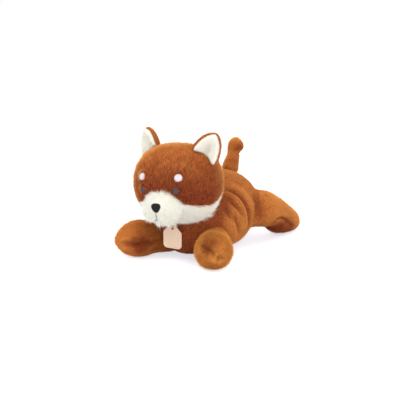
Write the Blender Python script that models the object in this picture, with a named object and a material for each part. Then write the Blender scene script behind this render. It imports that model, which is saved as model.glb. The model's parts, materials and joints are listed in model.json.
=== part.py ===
"""A lying plush fox: fabric covers over fibre fillings, sewn at neck, shoulders, hips and tail.

Metres, +Z up. The toy faces -Y and its own left side is +X. The origin is on the floor,
under the middle of the belly.
"""

import math

import bmesh
import bpy
from mathutils import Matrix, Vector

# Clearances
SEAM_GAP = 0.0003
SWING_GAP = 0.0005
FILLING_GAP = 0.0020
OVERRUN = 0.002

# Fabric
COVER_THICKNESS = 0.0025
FLAT_DEPTH = 0.0005

# Torso
TORSO_LENGTH = 0.160
TORSO_WIDTH = 0.098
TORSO_HEIGHT = 0.1065
TORSO_ENDS = 2.6
TORSO_FULLNESS = 2.25
# Along the body from chest to rump, then width, height and middle as shares of the torso's
TORSO_SHARES = (
    (-1.0, 0.86, 0.86, 0.72),
    (-0.5, 0.92, 0.97, 0.97),
    (0.0, 1.0, 1.0, 1.0),
    (0.5, 1.02, 0.98, 0.98),
    (1.0, 0.98, 0.86, 0.90),
)

# Head, a turned form that nods about its own left-to-right axis. It is sewn on a little askew,
# turned towards the toy's left and tilted towards its right.
HEAD_WIDTH = 0.111
HEAD_DIAMETER = 0.0995
HEAD_ENDS = 2.45
HEAD_FROM_CHEST = 0.008
HEAD_FORWARD = TORSO_LENGTH / 2 - HEAD_FROM_CHEST
HEAD_RISE = 0.101
HEAD_TURN = math.radians(5)
HEAD_TILT = math.radians(3)
NECK_OPENING_RADIUS = 0.020
NECK_OPENING_ANGLE = math.radians(-42)

# White jaw panel: its tip, its sagging upper edge and its straight lower edge, seen from the side
JAW_TIP_BACK = 0.022
JAW_TIP_DROP = 0.011
JAW_FRONT_DROP = 0.014
JAW_SAG = 0.010
JAW_LOWER_EDGE_ANGLE = math.radians(54)
JAW_EDGE_STEPS = 8

# Muzzle
MUZZLE_WIDTH = 0.048
MUZZLE_HEIGHT = 0.043
MUZZLE_DEPTH = 0.038
MUZZLE_FORWARD = 0.040
MUZZLE_DROP = 0.0240

# Embroidery and patches on the face
EYE_SPREAD = 0.0445
EYE_ANGLE = math.radians(-2)
EYE_WIDTH = 0.0078
EYE_HEIGHT = 0.0092
BROW_SPREAD = 0.0500
BROW_ANGLE = math.radians(17)
BROW_WIDTH = 0.0105
BROW_HEIGHT = 0.0095
PATCH_DOME = 0.0012
NOSE_WIDTH = 0.0122
NOSE_HEIGHT = 0.0115
NOSE_DOME = 0.0022
NOSE_RISE = 0.0030
NOSE_CORNERS = 3
NOSE_CORNER_SHARE = 0.10
THREAD_RADIUS = 0.0005
MOUTH_DROP = 0.0130
MOUTH_HALF_WIDTH = 0.0085
MOUTH_CURL = 0.0022

# Ears
EAR_WIDTH = 0.035
EAR_HEIGHT = 0.0270
EAR_ROOT_DEPTH = 0.021
EAR_SPREAD = 0.0750
EAR_ANGLE = math.radians(98)
EAR_LEFT_AHEAD = math.radians(14)
EAR_LEFT_OUT = 0.0038
EAR_LEFT_LEAN = math.radians(9)
EAR_BACK_THICKNESS = 0.0032
EAR_LINING_THICKNESS = 0.0020
EAR_RIM = 0.0016
EAR_CUP_RADIUS = 0.022
EAR_ROLL = math.radians(22)
EAR_YAW = math.radians(22)
EAR_PITCH = math.radians(4)
EAR_SWING = math.radians(15)
# Half width of the ear at heights from its root to its tip, as shares of the ear's own size
EAR_OUTLINE_SHARES = (
    (0.0, 0.9),
    (0.30, 1.0),
    (0.50, 0.97),
    (0.66, 0.86),
    (0.80, 0.68),
    (0.90, 0.48),
    (0.97, 0.27),
    (1.0, 0.12),
)
EAR_COLUMNS = 10

# Front legs
SHOULDER_RADIUS = 0.0208
SHOULDER_SPREAD = 0.069
SHOULDER_FROM_CHEST = 0.034
SHOULDER_FORWARD = TORSO_LENGTH / 2 - SHOULDER_FROM_CHEST
SHOULDER_RISE = 0.0232
FRONT_SPLAY = math.radians(33)
FRONT_REACH = 0.039
FRONT_SHANK_RADIUS = 0.0202
FRONT_PAW_RADIUS = 0.0236
FRONT_PAW_CAP = 0.0325

# Hind legs
HIP_RADIUS = 0.0270
HIP_SPREAD = 0.072
HIP_FROM_RUMP = 0.018
HIP_BACK = TORSO_LENGTH / 2 - HIP_FROM_RUMP
HIP_RISE = 0.0440
HIND_SPLAY = math.radians(1)
HIND_REACH = 0.0765
HIND_SHANK_RADIUS = 0.0230
HIND_PAW_RADIUS = 0.0178
HIND_PAW_CAP = 0.0275
LEG_OPENING_RADIUS = 0.011

# How fast a limb's tip narrows, and how much of that narrowing the hind foot keeps to the floor
TIP_TAPER = 1.3
HIND_SINK_SHARE = 0.8

# How far the legs swing towards and away from the middle, for which the torso makes room
LEG_SWING_IN = math.radians(4)
LEG_SWING_OUT = math.radians(14)
LEG_ROOM_FULLNESS = 2.6

# Tail
TAIL_ROOT_RADIUS = 0.0112
TAIL_FROM_RUMP = 0.029
TAIL_BACK = TORSO_LENGTH / 2 - TAIL_FROM_RUMP
TAIL_UNDER_TOP = 0.0050
TAIL_RISE = TORSO_HEIGHT - TAIL_UNDER_TOP
TAIL_LEAN = math.radians(23)
TAIL_REACH = 0.031
TAIL_NECK_RADIUS = 0.0088
TAIL_TIP_RADIUS = 0.0097
TAIL_TIP_CAP = 0.0100
TAIL_OPENING_RADIUS = 0.005

# Swing tag and the thread loop that holds it
TAG_WIDTH = 0.0270
TAG_LENGTH = 0.0285
TAG_THICKNESS = 0.0008
TAG_CORNER = 0.0050
TAG_SHOULDER = 0.0080
TAG_HOLE_RADIUS = 0.0018
TAG_EDGE = 0.0028
TAG_STAND_OFF = 0.0062
LOOP_UNDER_HEAD = 0.00525
LOOP_RISE = HEAD_RISE - HEAD_DIAMETER / 2 - LOOP_UNDER_HEAD
LOOP_HEIGHT = 0.0029
LOOP_RADIUS = 0.00045
KNOT_RADIUS = 0.0013

# Facets
TORSO_SIDES = 28
TORSO_STEPS = 20
HEAD_SIDES = 36
HEAD_STEPS = 16
MUZZLE_SIDES = 22
MUZZLE_STEPS = 12
LEG_SIDES = 18
ROOT_STEPS = 4
SHANK_STEPS = 4
TIP_STEPS = 5
TAIL_SIDES = 14
LINING_STEPS = 2
SOCKET_SIDES = 24
SMALL_SIDES = 16
THREAD_STEPS = 10
SHARP_ANGLE = math.radians(40)

SIDES = (("l", 1), ("r", -1))


def clear_scene():
    for obj in list(bpy.data.objects):
        bpy.data.objects.remove(obj, do_unlink=True)


def plush(name, colour, roughness):
    material = bpy.data.materials.new(name)
    material.use_nodes = True
    shader = material.node_tree.nodes["Principled BSDF"]
    shader.inputs["Base Color"].default_value = (*colour, 1)
    shader.inputs["Roughness"].default_value = roughness
    shader.inputs["Metallic"].default_value = 0
    return material


def make_materials():
    return {
        "rust": plush("rust_plush", (0.42, 0.13, 0.025), 0.9),
        "white": plush("white_plush", (0.85, 0.82, 0.74), 0.9),
        "filling": plush("fibre_filling", (0.80, 0.80, 0.78), 1.0),
        "grey": plush("grey_thread", (0.08, 0.08, 0.09), 0.6),
        "black": plush("black_thread", (0.012, 0.012, 0.014), 0.55),
        "tag": plush("tag_card", (0.66, 0.42, 0.27), 0.75),
        "string": plush("tag_string", (0.75, 0.55, 0.38), 0.8),
    }


def add_object(name, mesh, material=None):
    """Links a mesh as an object. One without a material is a cutter, which isn't a part."""
    obj = bpy.data.objects.new(name, mesh)
    bpy.context.scene.collection.objects.link(obj)
    if material:
        mesh.materials.append(material)
        mesh.shade_smooth()
        mesh.set_sharp_from_angle(angle=SHARP_ANGLE)
    else:
        obj.hide_render = True
        obj.display_type = "WIRE"
    return obj


def boolean(obj, other, operation="DIFFERENCE"):
    modifier = obj.modifiers.new(f"{operation.lower()}_{other.name}", "BOOLEAN")
    modifier.operation = operation
    modifier.object = other
    modifier.solver = "EXACT"


def mesh_from(bm, name, place=None):
    """Closes a bmesh into a mesh with its faces outward, moved to its place."""
    bmesh.ops.recalc_face_normals(bm, faces=bm.faces)
    if place:
        bmesh.ops.transform(bm, matrix=place, verts=bm.verts)
    mesh = bpy.data.meshes.new(name)
    bm.to_mesh(mesh)
    bm.free()
    return mesh


def flowing(table, at, column):
    """Reads a column of a table along a smooth curve through its rows, first column the place."""
    for low, high in zip(table, table[1:]):
        if at <= high[0]:
            share = max(0.0, (at - low[0]) / (high[0] - low[0]))
            eased = share * share * (3 - 2 * share)
            return low[column] + (high[column] - low[column]) * eased
    return table[-1][column]


def squared(value, power):
    """A signed power, for the rounded-square section of a stuffed form."""
    return math.copysign(abs(value) ** (2 / power), value)


def end_rounding(at, power):
    return max(0.0, 1 - abs(at) ** power) ** (1 / power)


def lofted(rings, sides, fullness=2.0):
    """One closed bmesh through rings of (along, height, half width, half height), along +Y."""
    bm = bmesh.new()
    loops = []
    for along, height, half_width, half_height in rings:
        if half_width == 0:
            loops.append([bm.verts.new((0, along, height))])
            continue
        loop = []
        for step in range(sides):
            angle = 2 * math.pi * step / sides
            x = half_width * squared(math.cos(angle), fullness)
            z = height + half_height * squared(math.sin(angle), fullness)
            loop.append(bm.verts.new((x, along, z)))
        loops.append(loop)
    for near, far in zip(loops, loops[1:]):
        for step in range(sides):
            following = (step + 1) % sides
            corners = [near[step % len(near)], near[following % len(near)]]
            corners += [far[following % len(far)], far[step % len(far)]]
            bm.faces.new(list(dict.fromkeys(corners)))
    return bm


def turned_rings(half_length, radius, ends, count, inset):
    """Rings of a form that is round about its length and rounded off at both ends."""
    rings = []
    for step in range(count + 1):
        at = -math.cos(math.pi * step / count)
        along = at * (half_length - inset)
        size = (radius - inset) * end_rounding(at, ends) if 0 < step < count else 0
        rings.append((along, 0, size, size))
    return rings


def torso_rings(inset, count):
    rings = []
    for step in range(count + 1):
        at = -math.cos(math.pi * step / count)
        rounding = end_rounding(at, TORSO_ENDS) if 0 < step < count else 0
        half_width = TORSO_WIDTH / 2 * flowing(TORSO_SHARES, at, 1) * rounding
        half_height = TORSO_HEIGHT / 2 * flowing(TORSO_SHARES, at, 2) * rounding
        middle = TORSO_HEIGHT / 2 * flowing(TORSO_SHARES, at, 3) - FLAT_DEPTH
        if rounding:
            half_width = max(half_width - inset, half_width / 2)
            half_height = max(half_height - inset, half_height / 2)
        rings.append((at * (TORSO_LENGTH / 2 - inset), middle, half_width, half_height))
    return rings


def limb_rings(root, reach, shank, tip, cap, drop, sink, inset, coarse=1):
    """Rings of a limb: a ball root about its joint, a slimmer shank and a rounded tip."""
    rings = []
    ball = root - inset
    root_steps = ROOT_STEPS // coarse + 1
    for step in range(root_steps):
        angle = math.pi / 2 * step / root_steps
        size = ball * math.sin(angle)
        rings.append((-ball * math.cos(angle), 0, size, size))
    table = ((0.0, root, 0.0), (0.5, shank, drop / 3), (1.0, tip, drop))
    shank_steps = SHANK_STEPS // coarse + 1
    for step in range(shank_steps):
        at = step / shank_steps
        size = flowing(table, at, 1) - inset
        rings.append((at * reach, -flowing(table, at, 2), size, size))
    cap_steps = TIP_STEPS // coarse + 1
    for step in range(cap_steps + 1):
        angle = math.pi / 2 * step / cap_steps
        size = (tip - inset) * math.cos(angle) ** TIP_TAPER if step < cap_steps else 0
        height = -drop - sink * (tip - inset - size)
        rings.append((reach + (cap - inset) * math.sin(angle), height, size, size))
    return rings


def placed(x, y, z, splay=0.0, lean=0.0):
    """The frame of a limb at its joint: local +Y runs along the limb."""
    turn = Matrix.Rotation(splay, 4, "Z") @ Matrix.Rotation(lean, 4, "X")
    return Matrix.Translation((x, y, z)) @ turn


def ball(name, centre, radius, sides=SOCKET_SIDES):
    """A ball cutter whose poles are on the vertical through its middle."""
    bm = bmesh.new()
    bmesh.ops.create_uvsphere(bm, u_segments=sides, v_segments=sides // 2, radius=radius)
    return add_object(name, mesh_from(bm, name, Matrix.Translation(centre)))


def drum(name, place, radius, start, end):
    """A cylinder cutter along the local +Y of its place, from start to end."""
    bm = bmesh.new()
    upright = Matrix.Rotation(-math.pi / 2, 4, "X")
    middle = Matrix.Translation((0, (start + end) / 2, 0))
    bmesh.ops.create_cone(
        bm,
        cap_ends=True,
        segments=SMALL_SIDES,
        radius1=radius,
        radius2=radius,
        depth=end - start,
        matrix=middle @ upright,
    )
    return add_object(name, mesh_from(bm, name, place))


def floor_cutter():
    """A slab under the floor, which cuts the resting places flat."""
    size = 2 * (TORSO_LENGTH + HIND_REACH)
    bm = bmesh.new()
    bmesh.ops.create_cube(bm, size=size, matrix=Matrix.Translation((0, 0, -size / 2)))
    return add_object("floor_cutter", mesh_from(bm, "floor_cutter"))


HEAD_MIDDLE = Vector((0, -HEAD_FORWARD, HEAD_RISE))
HEAD_TURNING = Matrix.Rotation(HEAD_TURN, 4, "Z") @ Matrix.Rotation(-HEAD_TILT, 4, "Y")
HEAD_FRAME = Matrix.Translation(HEAD_MIDDLE) @ HEAD_TURNING
MUZZLE_PLACE = HEAD_FRAME @ Matrix.Translation((0, -MUZZLE_FORWARD, -MUZZLE_DROP))
TAIL_JOINT = (0, TAIL_BACK, TAIL_RISE)


def head_form(name, inset, material=None, coarse=1):
    rings = turned_rings(
        HEAD_WIDTH / 2, HEAD_DIAMETER / 2, HEAD_ENDS, HEAD_STEPS // coarse, inset
    )
    bm = lofted(rings, HEAD_SIDES // coarse)
    place = HEAD_FRAME @ Matrix.Rotation(-math.pi / 2, 4, "Z")
    return add_object(name, mesh_from(bm, name, place), material)


def head_surface(x, angle):
    """The point of the head at x from the middle, the angle up from straight ahead, and its normal."""
    half = HEAD_WIDTH / 2
    radius = HEAD_DIAMETER / 2 * end_rounding(x / half, HEAD_ENDS)
    outward = Vector((0, -math.cos(angle), math.sin(angle)))
    slope = (HEAD_DIAMETER / 2 / radius) ** (HEAD_ENDS - 1) * (abs(x) / half) ** (HEAD_ENDS - 1)
    normal = outward + Vector((math.copysign(slope * HEAD_DIAMETER / HEAD_WIDTH, x), 0, 0))
    point = HEAD_FRAME @ (Vector((x, 0, 0)) + outward * radius)
    return point, (HEAD_TURNING @ normal).normalized()


def muzzle_form(name, inset, material=None, coarse=1):
    bm = bmesh.new()
    bmesh.ops.create_uvsphere(
        bm,
        u_segments=MUZZLE_SIDES // coarse,
        v_segments=MUZZLE_STEPS // coarse,
        radius=1,
    )
    half_sizes = (MUZZLE_WIDTH / 2, MUZZLE_DEPTH / 2, MUZZLE_HEIGHT / 2)
    stretch = Matrix.Diagonal([half - inset for half in half_sizes] + [1])
    return add_object(name, mesh_from(bm, name, MUZZLE_PLACE @ stretch), material)


def muzzle_surface(x, z, lift=0.0):
    """The point on the muzzle's front, lifted off it, at x and z from the muzzle's middle."""
    half_width = MUZZLE_WIDTH / 2 + lift
    half_height = MUZZLE_HEIGHT / 2 + lift
    left = max(0.0, 1 - (x / half_width) ** 2 - (z / half_height) ** 2)
    depth = (MUZZLE_DEPTH / 2 + lift) * math.sqrt(left)
    return MUZZLE_PLACE @ Vector((x, -depth, z))


def jaw_wedge(name, grow):
    """The part of the head's cover that is white: below a sagging edge, ahead of a slanted one."""
    reach = HEAD_DIAMETER
    outline = []
    for step in range(JAW_EDGE_STEPS + 1):
        share = step / JAW_EDGE_STEPS
        y = JAW_TIP_BACK - (JAW_TIP_BACK + reach / 2) * share
        drop = JAW_TIP_DROP + (JAW_FRONT_DROP - JAW_TIP_DROP) * share
        drop += JAW_SAG * math.sin(math.pi * share) - grow
        outline.append((y, -drop))
    slant = math.tan(JAW_LOWER_EDGE_ANGLE)
    back_grow = grow / math.sin(JAW_LOWER_EDGE_ANGLE)
    outline[0] = (JAW_TIP_BACK + back_grow, -JAW_TIP_DROP + grow)
    outline.append((-reach, outline[-1][1]))
    outline.append((-reach, -reach))
    outline.append((JAW_TIP_BACK + back_grow - (reach - JAW_TIP_DROP) / slant, -reach))
    bm = bmesh.new()
    face = bm.faces.new([bm.verts.new((-HEAD_WIDTH, y, z)) for y, z in outline])
    swept = bmesh.ops.extrude_face_region(bm, geom=[face])
    verts = [item for item in swept["geom"] if isinstance(item, bmesh.types.BMVert)]
    bmesh.ops.translate(bm, vec=(2 * HEAD_WIDTH, 0, 0), verts=verts)
    return add_object(name, mesh_from(bm, name, HEAD_FRAME))


def facing(point, normal):
    """A frame at a point of the head, its local +Y along the outward normal and +Z up the head."""
    across = normal.cross(HEAD_TURNING @ Vector((0, 0, 1))).normalized()
    up = across.cross(normal)
    turn = Matrix((across, normal, up)).transposed().to_4x4()
    return Matrix.Translation(point) @ turn


def patch(name, place, width, height, dome, material, corners=0):
    """A low domed patch, deep enough at its back to be trimmed to the surface under it."""
    rings = [(-2 * dome, 1.0), (0, 1.0), (dome * 0.6, 0.8), (dome * 0.9, 0.45), (dome, 0)]
    bm = bmesh.new()
    loops = []
    for along, size in rings:
        if size == 0:
            loops.append([bm.verts.new((0, along, 0))])
            continue
        loop = []
        for step in range(SMALL_SIDES):
            angle = 2 * math.pi * step / SMALL_SIDES
            corner = 1 + NOSE_CORNER_SHARE * math.cos(corners * (angle + math.pi / 2))
            spread = size * (corner if corners else 1)
            x = width / 2 * spread * math.cos(angle)
            z = height / 2 * spread * math.sin(angle)
            loop.append(bm.verts.new((x, along, z)))
        loops.append(loop)
    bm.faces.new(loops[0])
    for near, far in zip(loops, loops[1:]):
        for step in range(SMALL_SIDES):
            following = (step + 1) % SMALL_SIDES
            corners_of_face = [near[step], near[following]]
            corners_of_face += [far[following % len(far)], far[step % len(far)]]
            bm.faces.new(list(dict.fromkeys(corners_of_face)))
    return add_object(name, mesh_from(bm, name, place), material)


def thread(name, points, radius, closed=False, material=None):
    """A thread of one radius along points, with flat ends or closed on itself."""
    curve = bpy.data.curves.new(name, "CURVE")
    curve.dimensions = "3D"
    curve.bevel_depth = radius
    curve.bevel_resolution = 1
    curve.use_fill_caps = True
    spline = curve.splines.new("POLY")
    spline.points.add(len(points) - 1)
    for at, point in zip(spline.points, points):
        at.co = (*point, 1)
    spline.use_cyclic_u = closed
    holder = bpy.data.objects.new(f"{name}_line", curve)
    mesh = bpy.data.meshes.new_from_object(holder)
    bpy.data.objects.remove(holder)
    return add_object(name, mesh, material)


def torso_form(name, inset, material=None, coarse=1):
    bm = lofted(torso_rings(inset, TORSO_STEPS // coarse), TORSO_SIDES, TORSO_FULLNESS)
    return add_object(name, mesh_from(bm, name), material)


def make_torso(material, floor):
    """The torso's cover, open at neck, legs and tail, and the filling that it holds."""
    cover = torso_form("torso_cover", 0, material["rust"])
    boolean(cover, torso_form("torso_hollow", COVER_THICKNESS, coarse=LINING_STEPS))
    inset = COVER_THICKNESS + SEAM_GAP
    filling = torso_form("torso_filling", inset, material["filling"], coarse=LINING_STEPS)
    for obj, coarse in ((cover, 1), (filling, LINING_STEPS)):
        for cutter in torso_cutters(coarse):
            boolean(obj, cutter)
        boolean(obj, floor)


def make_head(material):
    """The rust head cover, the white jaw panel that is let into it, and the head's filling."""
    cover = head_form("head_cover", 0, material["rust"])
    hollow = head_form("head_hollow", COVER_THICKNESS, coarse=LINING_STEPS)
    place = HEAD_FRAME @ Matrix.Rotation(NECK_OPENING_ANGLE, 4, "X")
    neck = drum("neck_opening", place, NECK_OPENING_RADIUS, HEAD_DIAMETER / 4, HEAD_DIAMETER)
    boolean(cover, hollow)
    boolean(cover, jaw_wedge("jaw_seam", SEAM_GAP))
    boolean(cover, neck)
    panel = head_form("jaw_panel", 0, material["white"])
    boolean(panel, hollow)
    boolean(panel, jaw_wedge("jaw_shape", 0), "INTERSECT")
    inset = COVER_THICKNESS + SEAM_GAP
    head_form("head_filling", inset, material["filling"], coarse=LINING_STEPS)


def make_muzzle(material, head_clear):
    cover = muzzle_form("muzzle_cover", 0, material["white"])
    boolean(cover, muzzle_form("muzzle_hollow", COVER_THICKNESS, coarse=LINING_STEPS))
    boolean(cover, head_clear)
    inset = COVER_THICKNESS + SEAM_GAP
    filling = muzzle_form("muzzle_filling", inset, material["filling"], coarse=LINING_STEPS)
    boolean(filling, head_clear)


def make_face(material, head_clear):
    """Eyes, brow spots, nose and mouth, each lying on the fabric under it."""
    muzzle_clear = muzzle_form("muzzle_clearance", -SEAM_GAP)
    for side, sign in SIDES:
        point, normal = head_surface(sign * EYE_SPREAD / 2, EYE_ANGLE)
        place = facing(point, normal)
        eye = patch(f"eye_{side}", place, EYE_WIDTH, EYE_HEIGHT, PATCH_DOME, material["grey"])
        boolean(eye, head_clear)
        point, normal = head_surface(sign * BROW_SPREAD / 2, BROW_ANGLE)
        place = facing(point, normal)
        name = f"brow_spot_{side}"
        brow = patch(name, place, BROW_WIDTH, BROW_HEIGHT, PATCH_DOME, material["white"])
        boolean(brow, head_clear)
    point = muzzle_surface(0, NOSE_RISE)
    place = facing(point, HEAD_TURNING @ Vector((0, -1, 0)))
    nose = patch(
        "nose", place, NOSE_WIDTH, NOSE_HEIGHT, NOSE_DOME, material["black"], NOSE_CORNERS
    )
    boolean(nose, muzzle_clear)
    make_mouth(material)


def make_mouth(material):
    """The stitch under the nose and the mouth line, one thread shape on the muzzle."""
    lift = THREAD_RADIUS + 2 * SEAM_GAP
    start = NOSE_RISE - NOSE_HEIGHT / 2 * (1 + NOSE_CORNER_SHARE) - SEAM_GAP - THREAD_RADIUS
    drop = []
    for step in range(THREAD_STEPS // 2 + 1):
        share = step / (THREAD_STEPS // 2)
        drop.append(muzzle_surface(0, start + (-MOUTH_DROP - start) * share, lift))
    stitch = thread("mouth_stitch", drop, THREAD_RADIUS, material=material["black"])
    line = []
    for step in range(THREAD_STEPS + 1):
        share = 2 * step / THREAD_STEPS - 1
        z = -MOUTH_DROP - MOUTH_CURL * math.sin(math.pi * abs(share)) * (1 - abs(share) / 2)
        line.append(muzzle_surface(MOUTH_HALF_WIDTH * share, z, lift))
    boolean(stitch, thread("mouth_line", line, THREAD_RADIUS), "UNION")


def ear_frame(sign):
    """The ear's frame at its base: local X across, Z up the ear, -Y the way the ear opens.

    The left ear is sewn a little lower and further forward, and leans out more.
    """
    left = sign > 0
    spread = EAR_SPREAD / 2 + (EAR_LEFT_OUT if left else 0)
    base, _ = head_surface(sign * spread, EAR_ANGLE - (EAR_LEFT_AHEAD if left else 0))
    roll = EAR_ROLL + (EAR_LEFT_LEAN if left else 0)
    turn = Matrix.Rotation(sign * EAR_YAW, 4, "Z") @ Matrix.Rotation(sign * roll, 4, "Y")
    pitch = Matrix.Rotation(EAR_PITCH, 4, "X")
    return Matrix.Translation(base) @ HEAD_TURNING @ turn @ pitch


def ear_layer(name, sign, rim, front, thickness, material):
    """One layer of the ear: a cupped leaf, from its front face back by its thickness."""
    bm = bmesh.new()
    grid = []
    height = EAR_HEIGHT - rim
    for share, width_share in EAR_OUTLINE_SHARES:
        up = -EAR_ROOT_DEPTH + (height + EAR_ROOT_DEPTH) * share
        half = EAR_WIDTH / 2 * width_share - rim
        row = []
        for step in range(EAR_COLUMNS + 1):
            across = half * (2 * step / EAR_COLUMNS - 1)
            bend = across / EAR_CUP_RADIUS
            row.append((bend, up))
        grid.append(row)
    layers = []
    for depth in (front, front + thickness):
        radius = EAR_CUP_RADIUS + depth
        rows = []
        for row in grid:
            verts = []
            for bend, up in row:
                place = (radius * math.sin(bend), radius * math.cos(bend) - EAR_CUP_RADIUS, up)
                verts.append(bm.verts.new(place))
            rows.append(verts)
        layers.append(rows)
    near, far = layers
    for layer in layers:
        for low, high in zip(layer, layer[1:]):
            for step in range(EAR_COLUMNS):
                bm.faces.new((low[step], low[step + 1], high[step + 1], high[step]))
    edge = [near[0], near[-1], [row[0] for row in near], [row[-1] for row in near]]
    back = [far[0], far[-1], [row[0] for row in far], [row[-1] for row in far]]
    for line, other in zip(edge, back):
        for step in range(len(line) - 1):
            bm.faces.new((line[step], line[step + 1], other[step + 1], other[step]))
    return add_object(name, mesh_from(bm, name, ear_frame(sign)), material)


def make_ears(material):
    """Each ear is a rust back and a white lining, trimmed so that it can bend about its base."""
    for side, sign in SIDES:
        back = ear_layer(
            f"ear_back_{side}", sign, 0, SEAM_GAP / 2, EAR_BACK_THICKNESS, material["rust"]
        )
        lining = ear_layer(
            f"ear_lining_{side}",
            sign,
            EAR_RIM,
            -SEAM_GAP / 2 - EAR_LINING_THICKNESS,
            EAR_LINING_THICKNESS,
            material["white"],
        )
        frame = ear_frame(sign)
        for label, share in (("rest", 0), ("forward", 1), ("back", -1)):
            cutter = head_form(f"ear_trim_{side}_{label}", -SEAM_GAP)
            swing = frame @ Matrix.Rotation(share * EAR_SWING, 4, "X") @ frame.inverted()
            cutter.data.transform(swing)
            boolean(back, cutter)
            boolean(lining, cutter)


def roomy(radius, sides):
    """How much a round cutter of so many sides grows to stay a swing's gap off the radius."""
    return (radius + SWING_GAP) / math.cos(math.pi / sides) ** 2 - radius


def leg_room(name, place, sizes, sign, coarse):
    """Cutters that make room in the torso for a leg's ball root and for the fan of its swing."""
    root = sizes[0]
    sides = SOCKET_SIDES // coarse
    joint = place.to_translation()
    socket = ball(f"{name}_socket_{coarse}", joint, root + roomy(root, sides), sides)
    half_swing = (LEG_SWING_OUT + LEG_SWING_IN) / 2
    grow = roomy(root, LEG_SIDES // coarse) + (coarse - 1) * FILLING_GAP
    rings = [(-root / 4, 0, 0, 0), (0, 0, root + grow, root + grow)]
    for along, height, half_width, half_height in limb_rings(*sizes, inset=-grow, coarse=coarse):
        if along > 0:
            spread = along * math.sin(half_swing) if half_width else 0
            rings.append((along, height, half_width + spread, half_height))
    middle = Matrix.Rotation(sign * (LEG_SWING_OUT - LEG_SWING_IN) / 2, 4, "Z")
    turned = Matrix.Translation(joint) @ middle @ Matrix.Translation(-joint) @ place
    label = f"{name}_fan_{coarse}"
    bm = lofted(rings, LEG_SIDES // coarse, LEG_ROOM_FULLNESS)
    return [socket, add_object(label, mesh_from(bm, label, turned))]


def make_limb(name, place, sizes, opening, sides, material, floor):
    """A limb's cover, open where it was stuffed, and its filling."""
    bm = lofted(limb_rings(*sizes, inset=0), sides)
    cover = add_object(f"{name}_cover", mesh_from(bm, name, place), material["rust"])
    bm = lofted(limb_rings(*sizes, inset=COVER_THICKNESS, coarse=LINING_STEPS), sides)
    hollow = add_object(f"{name}_hollow", mesh_from(bm, f"{name}_hollow", place))
    boolean(cover, hollow)
    root = sizes[0]
    boolean(cover, drum(f"{name}_opening", place, opening, -root - OVERRUN, -root / 2))
    inset = COVER_THICKNESS + SEAM_GAP
    bm = lofted(limb_rings(*sizes, inset=inset, coarse=LINING_STEPS), sides)
    add_object(f"{name}_filling", mesh_from(bm, f"{name}_filling", place), material["filling"])
    if floor:
        boolean(cover, floor)


def leg_table():
    """Each leg's name, frame at its joint, sizes, and which way about +Z it swings outwards."""
    front = (SHOULDER_RADIUS, FRONT_REACH, FRONT_SHANK_RADIUS, FRONT_PAW_RADIUS, FRONT_PAW_CAP)
    front += (SHOULDER_RISE - FRONT_PAW_RADIUS + FLAT_DEPTH, 0)
    hind = (HIP_RADIUS, HIND_REACH, HIND_SHANK_RADIUS, HIND_PAW_RADIUS, HIND_PAW_CAP)
    hind += (HIP_RISE - HIND_PAW_RADIUS + FLAT_DEPTH, HIND_SINK_SHARE)
    table = []
    for side, sign in SIDES:
        shoulder = (sign * SHOULDER_SPREAD / 2, -SHOULDER_FORWARD, SHOULDER_RISE)
        place = placed(*shoulder, splay=math.pi + sign * FRONT_SPLAY)
        table.append((f"front_leg_{side}", place, front, sign))
        hip = (sign * HIP_SPREAD / 2, HIP_BACK, HIP_RISE)
        place = placed(*hip, splay=-sign * HIND_SPLAY)
        table.append((f"hind_leg_{side}", place, hind, -sign))
    return table


def make_legs(material, floor):
    for name, place, sizes, _ in leg_table():
        make_limb(name, place, sizes, LEG_OPENING_RADIUS, LEG_SIDES, material, floor)


def torso_cutters(coarse):
    """What is cut from the torso for the head, the legs and the tail to lie and swing in."""
    sides = HEAD_SIDES // coarse
    half = HEAD_DIAMETER / 2
    cutters = [head_form(f"head_socket_{coarse}", -roomy(half, sides), coarse=coarse)]
    for name, place, sizes, sign in leg_table():
        cutters += leg_room(name, place, sizes, sign, coarse)
    sides = SOCKET_SIDES // coarse
    radius = TAIL_ROOT_RADIUS + roomy(TAIL_ROOT_RADIUS, sides)
    cutters.append(ball(f"tail_socket_{coarse}", TAIL_JOINT, radius, sides))
    return cutters


def make_tail(material):
    sizes = (TAIL_ROOT_RADIUS, TAIL_REACH, TAIL_NECK_RADIUS, TAIL_TIP_RADIUS, TAIL_TIP_CAP, 0, 0)
    place = placed(*TAIL_JOINT, lean=math.pi / 2 - TAIL_LEAN)
    make_limb("tail", place, sizes, TAIL_OPENING_RADIUS, TAIL_SIDES, material, None)


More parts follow.
